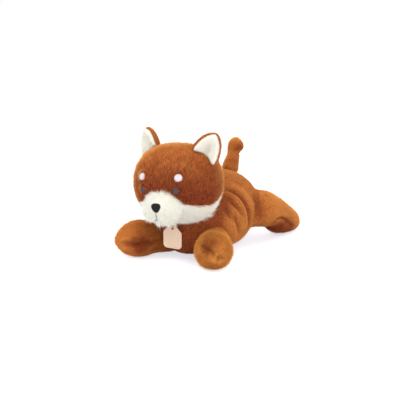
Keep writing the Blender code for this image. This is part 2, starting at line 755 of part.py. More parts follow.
def make_tag(material):
    """A plain swing tag on a thread loop, whose knot is sewn to the chest under the chin."""
    chest = -TORSO_LENGTH / 2
    tag_y = chest - TAG_STAND_OFF
    hole_z = LOOP_RISE + LOOP_RADIUS + SWING_GAP - TAG_HOLE_RADIUS
    top = hole_z + TAG_EDGE
    half = TAG_WIDTH / 2
    outline = [(-half + TAG_SHOULDER, top), (half - TAG_SHOULDER, top), (half, top - TAG_SHOULDER)]
    for side in (1, -1):
        for step in range(SMALL_SIDES // 4 + 1):
            angle = math.pi / 2 * step / (SMALL_SIDES // 4)
            turn = angle if side > 0 else math.pi / 2 - angle
            x = side * (half - TAG_CORNER + TAG_CORNER * math.cos(turn))
            outline.append((x, top - TAG_LENGTH + TAG_CORNER - TAG_CORNER * math.sin(turn)))
    outline.append((-half, top - TAG_SHOULDER))
    bm = bmesh.new()
    face = bm.faces.new([bm.verts.new((x, tag_y - TAG_THICKNESS / 2, z)) for x, z in outline])
    swept = bmesh.ops.extrude_face_region(bm, geom=[face])
    verts = [item for item in swept["geom"] if isinstance(item, bmesh.types.BMVert)]
    bmesh.ops.translate(bm, vec=(0, TAG_THICKNESS, 0), verts=verts)
    tag = add_object("tag", mesh_from(bm, "tag"), material["tag"])
    hole_place = Matrix.Translation((0, tag_y, hole_z))
    reach = TAG_THICKNESS + OVERRUN
    boolean(tag, drum("tag_hole", hole_place, TAG_HOLE_RADIUS, -reach, reach))
    make_loop(material, tag_y)


def make_loop(material, tag_y):
    """A flat ring of thread through the tag's hole, with a knot against the chest."""
    bend = LOOP_HEIGHT / 2
    front = tag_y - TAG_THICKNESS - LOOP_RADIUS
    back = -TORSO_LENGTH / 2 - KNOT_RADIUS
    points = []
    for end, start_angle in ((back, -math.pi / 2), (front, math.pi / 2)):
        for step in range(SMALL_SIDES // 2 + 1):
            angle = start_angle + math.pi * step / (SMALL_SIDES // 2)
            points.append((0, end + bend * math.cos(angle), LOOP_RISE + bend + bend * math.sin(angle)))
    loop = thread("tag_loop", points, LOOP_RADIUS, closed=True, material=material["string"])
    knot = ball("knot", (0, back + bend, LOOP_RISE + bend), KNOT_RADIUS, SMALL_SIDES)
    boolean(loop, knot, "UNION")
    boolean(loop, torso_form("torso_clearance", -SEAM_GAP))


def set_origins():
    """Puts the origin of each moving piece on its joint."""
    tag_joint = Vector((0, -TORSO_LENGTH / 2 - TAG_STAND_OFF, LOOP_RISE))
    joints = [("tail", Vector(TAIL_JOINT)), ("tag", tag_joint)]
    for start in ("head", "jaw", "muzzle", "brow", "eye", "nose", "mouth"):
        joints.append((start, HEAD_MIDDLE))
    for name, place, _, _ in leg_table():
        joints.append((name, place.to_translation()))
    for side, sign in SIDES:
        for layer in ("back", "lining"):
            joints.append((f"ear_{layer}_{side}", ear_frame(sign).to_translation()))
    for obj in bpy.data.objects:
        for start, joint in joints:
            if obj.name.startswith(start) and not obj.hide_render:
                obj.data.transform(Matrix.Translation(-joint))
                obj.location = joint


def main():
    clear_scene()
    material = make_materials()
    floor = floor_cutter()
    head_clear = head_form("head_clearance", -SEAM_GAP)
    make_legs(material, floor)
    make_tail(material)
    make_torso(material, floor)
    make_head(material)
    make_muzzle(material, head_clear)
    make_face(material, head_clear)
    make_ears(material)
    make_tag(material)
    set_origins()


main()
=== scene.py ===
"""Looks of the plush fox: stuffed skins with a real pile, a stitched face, lined ears and a tag.

Metres, in the frame of the solids: the toy faces -Y, its own left is +X and +Z is up.
"""

import json
import math

import bmesh
import bpy
import numpy as np
from mathutils import Euler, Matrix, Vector, noise
from mathutils.bvhtree import BVHTree


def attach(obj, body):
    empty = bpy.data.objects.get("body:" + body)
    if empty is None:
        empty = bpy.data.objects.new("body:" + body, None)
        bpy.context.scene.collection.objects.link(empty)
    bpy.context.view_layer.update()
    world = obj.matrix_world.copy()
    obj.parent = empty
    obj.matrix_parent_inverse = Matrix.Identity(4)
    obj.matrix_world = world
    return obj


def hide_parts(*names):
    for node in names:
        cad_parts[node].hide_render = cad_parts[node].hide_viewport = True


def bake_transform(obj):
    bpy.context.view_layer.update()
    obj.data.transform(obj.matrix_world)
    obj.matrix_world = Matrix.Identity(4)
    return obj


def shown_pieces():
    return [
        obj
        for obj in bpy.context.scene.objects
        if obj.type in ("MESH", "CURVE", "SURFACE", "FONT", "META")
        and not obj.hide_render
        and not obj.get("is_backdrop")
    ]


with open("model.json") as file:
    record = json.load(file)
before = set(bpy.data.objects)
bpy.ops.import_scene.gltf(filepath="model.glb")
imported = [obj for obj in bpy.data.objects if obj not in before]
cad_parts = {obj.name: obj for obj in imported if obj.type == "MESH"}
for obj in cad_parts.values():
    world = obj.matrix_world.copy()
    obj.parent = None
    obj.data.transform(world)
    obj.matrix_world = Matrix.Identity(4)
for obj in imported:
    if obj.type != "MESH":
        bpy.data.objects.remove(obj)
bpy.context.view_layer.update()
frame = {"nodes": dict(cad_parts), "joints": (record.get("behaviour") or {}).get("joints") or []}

# Camera
VIEW_FROM = (0.7621, -1.1971, 0.3672)
VIEW_TURN = (math.radians(90 - 12), 0, math.radians(33))
SENSOR = 36.0
FOCAL_SHARE = 2.79

# Place, size, power and colour of each lamp
LAMPS = {
    "key": ((-0.35, -0.70, 1.15), 1.4, 7.9, (1, 0.985, 0.96)),
    "fill": ((1.1, -0.9, 0.60), 1.2, 9.6, (1, 1, 1)),
}
LAMP_AIM = (0, 0, 0.06)
ROOM_LIGHT = (0.97, 0.98, 1, 1)
ROOM_SEEN = (1, 1, 1, 1)

# Floor
FLOOR_HALF = 4
FLOOR_DROP = 0.0002
FLOOR_LIT = (0.88, 0.88, 0.90, 1)
FLOOR_SHADED = (0.68, 0.72, 0.68, 1)
FLOOR_GLOW = (0.64, 0.63, 0.68, 1)

# The solids, and where they turn as the record has it
SOLIDS = frame["nodes"]
JOINT = {joint["name"]: joint for joint in frame["joints"]}
HEAD_MIDDLE = np.array(Vector(JOINT["head_nod"]["pos_m"]))
HEAD_ACROSS = Vector(JOINT["head_nod"]["axis"]).normalized()

SIDE_SIGN = {"l": 1, "r": -1}


# Nodes


def plug(tree, made, values):
    """Sets or links a node's sockets."""
    for socket, value in dict(values).items():
        if isinstance(value, bpy.types.NodeSocket):
            tree.links.new(value, made.inputs[socket])
        else:
            made.inputs[socket].default_value = value


def node(tree, kind, values=(), **settings):
    """A new node of a tree, with its settings and its sockets' values or links."""
    made = tree.nodes.new(kind)
    for name, value in settings.items():
        setattr(made, name, value)
    plug(tree, made, values)
    return made


def maths(tree, operation, *values):
    """A number worked out from others."""
    return node(tree, "ShaderNodeMath", enumerate(values), operation=operation).outputs[0]


def vectors(tree, operation, *values, scale=None):
    """A vector worked out from others."""
    sockets = dict(enumerate(values))
    if scale is not None:
        sockets["Scale"] = scale
    return node(tree, "ShaderNodeVectorMath", sockets, operation=operation).outputs[0]


def ranged(tree, value, start, end, low=0.0, high=1.0, curve="LINEAR"):
    """A number that runs from low to high while a value runs from start to end."""
    sockets = {"Value": value, "From Min": start, "From Max": end, "To Min": low, "To Max": high}
    return node(tree, "ShaderNodeMapRange", sockets, interpolation_type=curve).outputs[0]


def mixed(tree, factor, first, second, blend="MIX"):
    """A mix of two colours. The colour sockets of a Mix node are its third pair."""
    sockets = {0: factor, 6: first, 7: second}
    return node(tree, "ShaderNodeMix", sockets, data_type="RGBA", blend_type=blend).outputs[2]


def attribute(tree, name, output="Fac"):
    return node(tree, "ShaderNodeAttribute", attribute_name=name).outputs[output]


def waves(tree, place, scale, detail):
    """The outputs of a noise texture."""
    sockets = {"Vector": place, "Scale": scale, "Detail": detail}
    return node(tree, "ShaderNodeTexNoise", sockets).outputs


def seen_as(tree, real, seen):
    """A shader that lights the scene as one, while the camera sees another."""
    camera_ray = node(tree, "ShaderNodeLightPath").outputs["Is Camera Ray"]
    return node(tree, "ShaderNodeMixShader", {0: camera_ray, 1: real, 2: seen}).outputs[0]


def new_sockets(group, way, kind, *names):
    """Adds sockets of one kind to a node group."""
    for name in names:
        group.interface.new_socket(name=name, in_out=way, socket_type=f"NodeSocket{kind}")


def new_material(name):
    """A material with its nodes and its shader."""
    material = bpy.data.materials.new(name)
    material.use_nodes = True
    return material, material.node_tree, material.node_tree.nodes["Principled BSDF"]


# Meshes


def link(name, data):
    obj = bpy.data.objects.new(name, data)
    bpy.context.scene.collection.objects.link(obj)
    return obj


def opened(mesh):
    bm = bmesh.new()
    bm.from_mesh(mesh)
    return bm


def write(bm, mesh):
    """Writes a form into a mesh and lets the form go."""
    bm.to_mesh(mesh)
    bm.free()


def settle(obj):
    """Applies a piece's modifiers."""
    graph = bpy.context.evaluated_depsgraph_get()
    mesh = bpy.data.meshes.new_from_object(
        obj.evaluated_get(graph), preserve_all_data_layers=True, depsgraph=graph
    )
    old = obj.data
    obj.modifiers.clear()
    obj.data = mesh
    bpy.data.meshes.remove(old)
    mesh.name = obj.name


def paint(mesh, material):
    """Gives a mesh one material in place of its own."""
    mesh.materials.clear()
    mesh.materials.append(material)


def read(items, key):
    found = np.empty(len(items) * 3)
    items.foreach_get(key, found)
    return found.reshape(-1, 3)


def places(obj):
    return read(obj.data.vertices, "co")


def normals(obj):
    return read(obj.data.vertex_normals, "vector")


def move_to(obj, found):
    obj.data.vertices.foreach_set("co", found.ravel())
    obj.data.update()


def store(mesh, name, values):
    """Keeps a number or a vector for each vertex."""
    values = np.asarray(values, np.float32)
    kind, key = ("FLOAT", "value") if values.ndim == 1 else ("FLOAT_VECTOR", "vector")
    kept = mesh.attributes.get(name) or mesh.attributes.new(name, kind, "POINT")
    kept.data.foreach_set(key, values.ravel())


def stored(mesh, name):
    """The numbers that a mesh keeps under a name."""
    values = np.empty(len(mesh.vertices), np.float32)
    mesh.attributes[name].data.foreach_get("value", values)
    return values


# Scene


def make_camera():
    data = bpy.data.cameras.new("camera")
    data.sensor_width = SENSOR
    data.lens = SENSOR * FOCAL_SHARE
    camera = link("camera", data)
    camera.location = VIEW_FROM
    camera.rotation_euler = VIEW_TURN
    bpy.context.scene.camera = camera


def make_light():
    """A wide soft lamp above the front, another from the toy's left and a bright room."""
    for name, (place, size, power, colour) in LAMPS.items():
        data = bpy.data.lights.new(name, "AREA")
        data.shape = "DISK"
        data.size = size
        data.energy = power
        data.color = colour
        lamp = link(name, data)
        lamp.location = place
        lamp.rotation_euler = (Vector(LAMP_AIM) - Vector(place)).to_track_quat("-Z", "Y").to_euler()
    world = bpy.data.worlds.new("studio")
    bpy.context.scene.world = world
    world.use_nodes = True
    tree = world.node_tree
    tree.nodes.clear()
    light = node(tree, "ShaderNodeBackground", {"Color": ROOM_LIGHT}).outputs[0]
    seen = node(tree, "ShaderNodeBackground", {"Color": ROOM_SEEN}).outputs[0]
    node(tree, "ShaderNodeOutputWorld", {"Surface": seen_as(tree, light, seen)})


def make_floor():
    """A white floor. To the camera it glows a little, so that only a near shadow shows on it."""
    bm = bmesh.new()
    bmesh.ops.create_grid(bm, x_segments=1, y_segments=1, size=FLOOR_HALF)
    mesh = bpy.data.meshes.new("floor")
    write(bm, mesh)
    floor = link("floor", mesh)
    floor.location.z = -FLOOR_DROP
    material, tree, _ = new_material("floor")
    tree.nodes.clear()
    matt = node(tree, "ShaderNodeBsdfDiffuse", {"Color": FLOOR_LIT}).outputs[0]
    shaded = node(tree, "ShaderNodeBsdfDiffuse", {"Color": FLOOR_SHADED}).outputs[0]
    glow = node(tree, "ShaderNodeEmission", {"Color": FLOOR_GLOW}).outputs[0]
    seen = node(tree, "ShaderNodeAddShader", {0: shaded, 1: glow}).outputs[0]
    node(tree, "ShaderNodeOutputMaterial", {"Surface": seen_as(tree, matt, seen)})
    mesh.materials.append(material)
    floor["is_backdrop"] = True


# Materials

# Waves of the patches, where a patch and a clump begin and end in them, how uneven a pile is
# where its painted light is 0 and 1, and where a pile counts as seen at a grazing angle for its painted
# sheen
PATCH_WAVES = 55
PATCH_EDGE = (0.38, 0.66)
CLUMP_EDGE = (0.3, 0.7)
UNEVEN_BY_TONE = (1.6, 0.5)
GRAZING = (0.4, 1.0)

# The colour where the painted light is 0 is a painted shade. Glow is how far a painted sheen lightens
# the colour at a grazing angle, deep glow how much of it is left where the painted light is 0
RUST_BODY = {
    "colour": {
        "Root": (0.46, 0.115, 0.024, 1), "Deep": (0.31, 0.068, 0.024, 1),
        "Tip": (1.00, 0.470, 0.106, 1), "Patch": (0.90, 0.360, 0.084, 1),
        "Patch Share": 0.8, "Streak": 0.5, "Clump": 0.34, "Clump Size": (520, 520, 520),
    },
    "sheen": 0.4, "sheen tint": (1.0, 0.46, 0.12, 1), "glow": 0.55, "deep glow": 0.0,
    "through": 0.3, "even": 0.6,
}
# A lighter, more golden copy of the body's pile for the near front paw: painted light from the lamps'
# side
RUST_LIT_PAW = {
    **RUST_BODY,
    "colour": {
        **RUST_BODY["colour"], "Root": (0.56, 0.20, 0.042, 1), "Deep": (0.32, 0.062, 0.026, 1),
        "Tip": (1.00, 0.53, 0.120, 1),
    },
    "sheen tint": (1.0, 0.55, 0.15, 1), "glow": 0.9,
}
RUST_FACE = {
    **RUST_BODY,
    "colour": {
        "Root": (0.28, 0.055, 0.014, 1), "Deep": (0.30, 0.058, 0.020, 1),
        "Tip": (1.00, 0.410, 0.094, 1), "Patch": (0.74, 0.230, 0.050, 1),
        "Patch Share": 0.8, "Streak": 0.55, "Clump": 0.50, "Clump Size": (600, 430, 150),
    },
    "sheen tint": (1.0, 0.50, 0.14, 1), "glow": 0.95, "deep glow": 0.7,
}
WHITE = {
    "colour": {
        "Root": (0.90, 0.88, 0.79, 1), "Deep": (0.70, 0.70, 0.60, 1),
        "Tip": (0.90, 0.885, 0.82, 1), "Patch": (0.86, 0.84, 0.76, 1),
        "Patch Share": 0.6, "Streak": 0.05, "Clump": 0.05, "Clump Size": (300, 300, 300),
    },
    "sheen": 0.3, "sheen tint": (1, 1, 1, 1), "glow": 0.3, "deep glow": 0.0,
    "through": 0.25, "even": 0.4,
}


def pile_colour_group():
    """Colour of a pile: darker at the root, in painted shade where its painted light is low, patchy and
    streaked.
    """
    group = bpy.data.node_groups.new("pile_colour", "ShaderNodeTree")
    new_sockets(group, "INPUT", "Color", "Root", "Deep", "Tip", "Patch")
    new_sockets(group, "INPUT", "Float", "Patch Share", "Streak", "Clump")
    new_sockets(group, "INPUT", "Vector", "Clump Size")
    new_sockets(group, "OUTPUT", "Color", "Color")
    given = node(group, "NodeGroupInput").outputs
    place = node(group, "ShaderNodeTexCoord").outputs["Object"]
    along, shade, tone = (attribute(group, name) for name in ("along", "shade", "tone"))
    patchy = ranged(group, waves(group, place, PATCH_WAVES, 3)["Fac"], *PATCH_EDGE)
    share = maths(group, "MULTIPLY", patchy, given["Patch Share"])
    light = mixed(group, share, given["Tip"], given["Patch"])
    # Painted shade: the tip's colour goes to the shade colour where the painted light is low
    tip = mixed(group, tone, given["Deep"], light)
    body = mixed(group, along, given["Root"], tip)
    uneven = ranged(group, tone, 0, 1, *UNEVEN_BY_TONE)
    streak = maths(group, "MULTIPLY", maths(group, "SUBTRACT", shade, 0.5), uneven)
    gain = maths(group, "MULTIPLY_ADD", streak, given["Streak"], 1)
    stretched = vectors(group, "MULTIPLY", place, given["Clump Size"])
    clump = ranged(group, waves(group, stretched, 1, 2)["Fac"], *CLUMP_EDGE, -0.5, 0.5)
    clump = maths(group, "MULTIPLY", clump, uneven)
    gain = maths(group, "MULTIPLY_ADD", clump, given["Clump"], gain)
    node(group, "NodeGroupOutput", {"Color": vectors(group, "SCALE", body, scale=gain)})
    return group


def pile_material(name, group, look):
    """A pile of fibres that let some light through. Look holds the colour group's values."""
    material, tree, shader = new_material(name)
    out = node(
        tree, "ShaderNodeVectorTransform", {"Vector": attribute(tree, "out", "Vector")},
        vector_type="NORMAL", convert_from="OBJECT", convert_to="WORLD",
    ).outputs[0]
    # Painted sheen: where the skin is seen at a grazing angle, the colour is lightened towards the
    # sheen tint, less where the painted light is low
    grazing = node(tree, "ShaderNodeLayerWeight", {"Blend": 0.5, "Normal": out}).outputs["Facing"]
    grazing = ranged(tree, grazing, *GRAZING, 0, look["glow"], "SMOOTHSTEP")
    by_tone = ranged(tree, attribute(tree, "tone"), 0, 1, look["deep glow"], 1)
    glow = maths(tree, "MULTIPLY", grazing, by_tone)
    pile = node(tree, "ShaderNodeGroup", look["colour"], node_tree=group).outputs["Color"]
    colour = mixed(tree, glow, pile, look["sheen tint"])
    skin = vectors(tree, "SCALE", out, scale=look["even"])
    own = node(tree, "ShaderNodeNewGeometry").outputs["Normal"]
    plug(tree, shader, {
        "Base Color": colour, "Roughness": 0.8, "Specular IOR Level": 0.2,
        "Sheen Weight": look["sheen"], "Sheen Roughness": 0.45, "Sheen Tint": look["sheen tint"],
        "Normal": vectors(tree, "NORMALIZE", vectors(tree, "ADD", skin, own)),
    })
    through = node(tree, "ShaderNodeBsdfTranslucent", {"Color": colour}).outputs[0]
    both = node(tree, "ShaderNodeMixShader", {0: look["through"], 1: shader.outputs[0], 2: through})
    plug(tree, tree.nodes["Material Output"], {"Surface": both.outputs[0]})
    return material


# Pile

# Bend, rise and width of each row of a strand, from its root to its tip
STRAND_ROWS = ((0.0, 0.0, 1.0), (0.10, 0.52, 0.8), (0.34, 1.0, 0.0))
STRAND_TWIST = 0.9
LENGTH_SPREAD = (0.7, 1.15)
# How short the pile is on the floor and from which height it has its full length
FLOOR_LENGTH = 0.3
FLOOR_REACH = 0.006
PILE_VALUES = ("Density", "Length", "Width", "Lean", "Bunch", "Bunch Size", "Mess")
PILES = {
    "torso": (3.0e6, 0.0028, 0.00038, 0.72, 0.7, 320.0, 0.20),
    "head": (2.4e6, 0.0062, 0.00044, 0.76, 0.9, 230.0, 0.27),
    "white": (3.2e6, 0.0042, 0.00036, 0.60, 0.6, 230.0, 0.24),
    "ear_back": (4.0e6, 0.0030, 0.00036, 0.60, 0.9, 300.0, 0.40),
    "ear_fleece": (5.0e6, 0.0011, 0.00030, 0.35, 0.6, 500.0, 0.40),
    "limb": (3.0e6, 0.0036, 0.00038, 0.64, 0.8, 320.0, 0.30),
}


def make_strand():
    """One strand a unit long and wide, bent towards +X, its place along it kept for its colour."""
    bm = bmesh.new()
    rows = [
        [bm.verts.new((bend, side * width / 2, rise)) for side in ((-1, 1) if width else (0,))]
        for bend, rise, width in STRAND_ROWS
    ]
    bm.faces.new((rows[0][0], rows[0][1], rows[1][1], rows[1][0]))
    bm.faces.new((rows[1][0], rows[1][1], rows[2][0]))
    mesh = bpy.data.meshes.new("strand")
    write(bm, mesh)
    store(mesh, "along", [vert.co.z for vert in mesh.vertices])
    mesh.shade_smooth()
    strand = link("strand", mesh)
    strand.hide_render = True
    return strand


def make_pile_group():
    """Plants strands on a skin, lying along its nap, bunched a little and uneven in length."""
    tree = bpy.data.node_groups.new("pile", "GeometryNodeTree")
    new_sockets(tree, "INPUT", "Geometry", "Skin")
    new_sockets(tree, "INPUT", "Object", "Strand")
    new_sockets(tree, "INPUT", "Float", *PILE_VALUES)
    new_sockets(tree, "INPUT", "Int", "Seed")
    new_sockets(tree, "OUTPUT", "Geometry", "Pile")
    given = node(tree, "NodeGroupInput").outputs

    def made(kind, values=(), **settings):
        return node(tree, kind, values, **settings).outputs[0]

    def chance(low, high, seed):
        return node(tree, "FunctionNodeRandomValue", {2: low, 3: high, "Seed": seed}).outputs[1]

    def scaled(vector, scale):
        return vectors(tree, "SCALE", vector, scale=scale)

    cover, pile, nap = (
        made("GeometryNodeInputNamedAttribute", {"Name": name}, data_type=kind)
        for name, kind in (("cover", "FLOAT"), ("pile", "FLOAT"), ("nap", "FLOAT_VECTOR"))
    )
    density = maths(tree, "MULTIPLY", given["Density"], cover)
    planted = node(
        tree, "GeometryNodeDistributePointsOnFaces",
        {"Mesh": given["Skin"], "Density": density, "Seed": given["Seed"]},
    ).outputs
    upright = maths(tree, "SUBTRACT", 1.0, given["Lean"])
    direction = vectors(tree, "ADD", scaled(planted["Normal"], upright), scaled(nap, given["Lean"]))
    swirl = waves(tree, made("GeometryNodeInputPosition"), given["Bunch Size"], 2.0)["Color"]
    swirl = vectors(tree, "SUBTRACT", swirl, (0.5, 0.5, 0.5))
    box = {0: (-1, -1, -1), 1: (1, 1, 1), "Seed": 11}
    stray = made("FunctionNodeRandomValue", box, data_type="FLOAT_VECTOR")
    for push, share in ((swirl, "Bunch"), (stray, "Mess")):
        direction = vectors(tree, "ADD", direction, scaled(push, given[share]))
    turned = made("FunctionNodeAlignRotationToVector", {"Vector": direction}, axis="Z")
    facing = {"Rotation": turned, "Vector": nap}
    faced = made("FunctionNodeAlignRotationToVector", facing, axis="X", pivot_axis="Z")
    twist = made("ShaderNodeCombineXYZ", {"Z": chance(-STRAND_TWIST, STRAND_TWIST, 5)})
    twist = made("FunctionNodeEulerToRotation", {0: twist})
    turns = {"Rotation": faced, "Rotate By": twist}
    twisted = made("FunctionNodeRotateRotation", turns, rotation_space="LOCAL")
    length = maths(tree, "MULTIPLY", given["Length"], pile)
    length = maths(tree, "MULTIPLY", length, chance(*LENGTH_SPREAD, 3))
    size = made("ShaderNodeCombineXYZ", {"X": length, "Y": given["Width"], "Z": length})
    strand = node(tree, "GeometryNodeObjectInfo", {"Object": given["Strand"], "As Instance": True})
    strand = strand.outputs["Geometry"]
    rows = made("GeometryNodeInstanceOnPoints", {
        "Points": planted["Points"], "Instance": strand, "Rotation": twisted, "Scale": size,
    })
    shade = {"Geometry": rows, "Name": "shade", "Value": chance(0.0, 1.0, 7)}
    marked = made("GeometryNodeStoreNamedAttribute", shade, data_type="FLOAT", domain="INSTANCE")
    real = made("GeometryNodeRealizeInstances", {"Geometry": marked})
    node(tree, "NodeGroupOutput", {"Pile": real})
    return tree


# Skins

# Voxel and rounds of smoothing of each kind of skin
SKIN_GRAIN = {
    "torso": (0.002, 10), "head": (0.0018, 8), "limb": (0.0012, 16), "ear_back": (0.0010, 5),
    "ear_lining": (0.0008, 6),
}
# How deep in another skin a skin grows no pile
HIDDEN_DEPTH = 0.0015


def cad_form(*nodes):
    """A merged copy of some solids."""
    bm = bmesh.new()
    for name in nodes:
        bm.from_mesh(SOLIDS[name].data)
    bmesh.ops.remove_doubles(bm, verts=bm.verts, dist=1e-6)
    return bm


def keep_outside(bm):
    """Keeps the largest island, so that nothing is left inside a skin."""
    left = set(bm.verts)
    islands = []
    while left:
        island = {left.pop()}
        edge = list(island)
        while edge:
            vert = edge.pop()
            near = [line.other_vert(vert) for line in vert.link_edges]
            fresh = [other for other in near if other in left]
            left.difference_update(fresh)
            island.update(fresh)
            edge.extend(fresh)
        islands.append(island)
    islands.sort(key=len)
    for island in islands[:-1]:
        bmesh.ops.delete(bm, geom=list(island), context="VERTS")


def soften(bm, verts, passes):
    for _ in range(passes):
        bmesh.ops.smooth_vert(
            bm, verts=verts, factor=0.5, use_axis_x=True, use_axis_y=True, use_axis_z=True
        )


def soft_skin(name, bm, voxel, passes):
    """A closed, evenly meshed and softened skin over a form."""
    mesh = bpy.data.meshes.new(name)
    write(bm, mesh)
    skin = link(name, mesh)
    even = skin.modifiers.new("even", "REMESH")
    even.mode = "VOXEL"
    even.voxel_size = voxel
    settle(skin)
    bm = opened(skin.data)
    keep_outside(bm)
    soften(bm, bm.verts, passes)
    write(bm, skin.data)
    skin.data.shade_smooth()
    return skin


def along_surface(way, normal):
    """Directions laid into the surface and made one long."""
    flat = way - normal * np.sum(way * normal, axis=1, keepdims=True)
    return flat / (np.linalg.norm(flat, axis=1, keepdims=True) + 1e-9)


def ease(value, low, high):
    """0 up to low, 1 from high on and smooth between. Low may lie above high."""
    share = np.clip((value - low) / (high - low), 0, 1)
    return share * share * (3 - 2 * share)


def bell(distance, reach):
    """1 at no distance, fading out over some times the reach."""
    return np.exp(-((distance / reach) ** 2))


def apart(found, place):
    """How far each point is from a place."""
    return np.linalg.norm(found - place, axis=1)


def search(obj):
    """A tree that finds the nearest place on a piece."""
    return BVHTree.FromObject(obj, bpy.context.evaluated_depsgraph_get())


def distance_to(found, nodes):
    """How far each point is from the nearest of some solids."""
    trees = [search(SOLIDS[name]) for name in nodes]
    return np.array([min(tree.find_nearest(Vector(point))[3] for tree in trees) for point in found])


def depth_in(found, other):
    """How deep each point lies inside another closed skin: above zero is inside."""
    tree = search(other)
    depth = np.empty(len(found))
    for index, point in enumerate(found):
        place, normal, _, distance = tree.find_nearest(Vector(point))
        inside = (Vector(point) - place).dot(normal) < 0
        depth[index] = distance if inside else -distance
    return depth


def comb(skin, nap, length, cover, tone):
    """Keeps on a skin which way its pile lies, how long it is, where there is any and its painted light
    and shade.
    """
    mesh = skin.data
    # Painted shade along the creases darkens the painted light
    if "dark" in mesh.attributes:
        tone = tone - stored(mesh, "dark")
    above_floor = ease(places(skin)[:, 2], 0.0, FLOOR_REACH)
    store(mesh, "nap", nap)
    store(mesh, "pile", length * (FLOOR_LENGTH + (1 - FLOOR_LENGTH) * above_floor))
    store(mesh, "cover", cover)
    store(mesh, "tone", np.clip(tone, 0, 1))
    store(mesh, "out", normals(skin))


def grow_pile(name, skin, tools, material, kind, seed, share=1):
    """Grows the pile of a skin as a piece of its own. Share limits it to a part of the skin."""
    mesh = skin.data.copy()
    store(mesh, "cover", stored(mesh, "cover") * share)
    piece = link(name, mesh)
    mod = piece.modifiers.new("pile", "NODES")
    mod.node_group = tools["group"]
    values = dict(zip(PILE_VALUES, PILES[kind]), Strand=tools["strand"], Seed=seed)
    for item in tools["group"].interface.items_tree:
        if item.in_out == "INPUT" and item.name in values:
            mod[item.identifier] = values[item.name]
    settle(piece)
    mesh = piece.data
    for extra in ("nap", "pile", "cover", "dark"):
        if extra in mesh.attributes:
            mesh.attributes.remove(mesh.attributes[extra])
    paint(mesh, material)
    mesh.shade_smooth()
    return piece


# Lines on the plush

# How a crease fades out at its ends, where the swell beside it lies and how far its painted shade
# reaches
CREASE_ENDS = (0.06, 0.88)
SWELL_PLACE = 2.1
SWELL_WIDTH = 0.9
SHADE_WIDTH = 1.15


def near_line(found, line):
    """How far each point is from a line, the way from the line to it and its share of the line."""
    nearest = np.full(len(found), np.inf)
    way = np.zeros_like(found)
    share = np.zeros(len(found))
    steps = len(line) - 1
    for step, (start, end) in enumerate(zip(line, line[1:])):
        run = np.subtract(end, start)
        along = np.clip((found - start) @ run / (run @ run), 0, 1)
        off = found - start - along[:, None] * run
        distance = np.linalg.norm(off, axis=1)
        closer = distance < nearest
        nearest[closer] = distance[closer]
        way[closer] = off[closer]
        share[closer] = (step + along[closer]) / steps
    return nearest, way, share


def crease_skin(skin, creases):
    """Presses valleys into a skin, each along a line with a low swell on both sides and fading out
    at its ends. The painted shade along them is kept, to darken the pile's painted light."""
    found = places(skin)
    pressed = np.zeros(len(found))
    dark = np.zeros(len(found))
    for line, width, depth, swell, painted_shade in creases:
        distance, _, share = near_line(found, line)
        begin, run = CREASE_ENDS
        fade = np.sqrt(np.clip(np.sin(math.pi * (begin + run * share)), 0, 1))
        beside = bell(distance - SWELL_PLACE * width, SWELL_WIDTH * width)
        pressed += fade * depth * (bell(distance, width) - swell * beside)
        dark += fade * painted_shade * bell(distance, SHADE_WIDTH * width)
    store(skin.data, "dark", dark)
    move_to(skin, found - normals(skin) * pressed[:, None])


def part_pile(found, way, line, reach, strength):
    """Turns the nap away from a line on both sides of it, where the pile parts."""
    distance, off, _ = near_line(found, line)
    turned = off / (distance[:, None] + 1e-6)
    return way + turned * (ease(distance, reach, 0) * strength)[:, None]


# Torso


def mm(*points):
    """Points given in millimetres, in metres."""
    return tuple(tuple(value / 1000 for value in point) for point in points)


# Lines chosen on the photo, in pixels across and down its frame of 400 by 400: the folds of the
# left flank, each with its width, depth and painted shade (below zero on the lit ridges), and the
# sole's crease. The right side has the same, with less deep folds
PHOTO_HALF = 200
FLANK_RIDGE = (0.0042, -0.0012, -0.5)
FLANK_FOLDS = (
    ((0.0042, 0.0044, 1.0), ((226, 188), (231, 190), (236, 192.5), (241, 196.5), (245, 202),
                             (247.5, 207), (249, 213), (249.5, 219), (249, 225))),
    ((0.0038, 0.0042, 1.0), ((223, 195), (227, 198), (231, 201), (235, 205), (238.5, 209), (241, 213))),
    ((0.0036, 0.0028, 0.7), ((221.5, 202), (224, 206), (226.5, 211), (229, 216), (232, 221))),
    ((0.0030, 0.0026, 0.6), ((234, 215), (236.5, 221), (238, 227), (238.5, 233))),
    ((0.0058, 0.0022, 0.75), ((253, 196), (256, 203), (257, 210), (257, 218))),
    (FLANK_RIDGE, ((230, 184), (236, 187), (242, 191.5), (247, 197), (250, 203), (252, 209))),
    (FLANK_RIDGE, ((225, 191), (230, 194), (236, 197.5), (241, 201.5), (244.5, 207), (246, 213),
                   (247, 219), (246.5, 226))),
    (FLANK_RIDGE, ((223.5, 198.5), (227, 202), (231, 206), (235, 210), (239, 214.5), (242, 220),
                   (243, 227))),
    (FLANK_RIDGE, ((220.5, 206), (223, 212), (226, 217), (230, 221), (233, 225.5), (235.5, 231),
                   (237, 237))),
)
SOLE_CREASE = ((272, 226), (276, 221), (280, 219), (286, 222), (291, 226))
CHEST_FOLD = mm((17, -72, 54), (21, -74, 42), (20, -74, 28))
# Width, depth and painted shade of the chest's fold and of the sole's crease
CHEST_FOLD_SHAPE = (0.0030, 0.0020, 0.8)
SOLE_CREASE_SHAPE = (0.0030, 0.0030, 0.8)
FAR_SIDE_SHARE = 0.7

TORSO_INSET = 0.0008
TORSO_NAP = (0, 1.0, -0.45)
TORSO_TONE = 0.76
# How much painted shade darkens the torso's pile: on its lit top, the chest, under the head, by the
# front legs and behind the jaw
TORSO_PAINTED_SHADES = {"on top": 0.18, "chest": 0.6, "under head": 0.9, "by legs": 0.6, "behind jaw": 0.55}
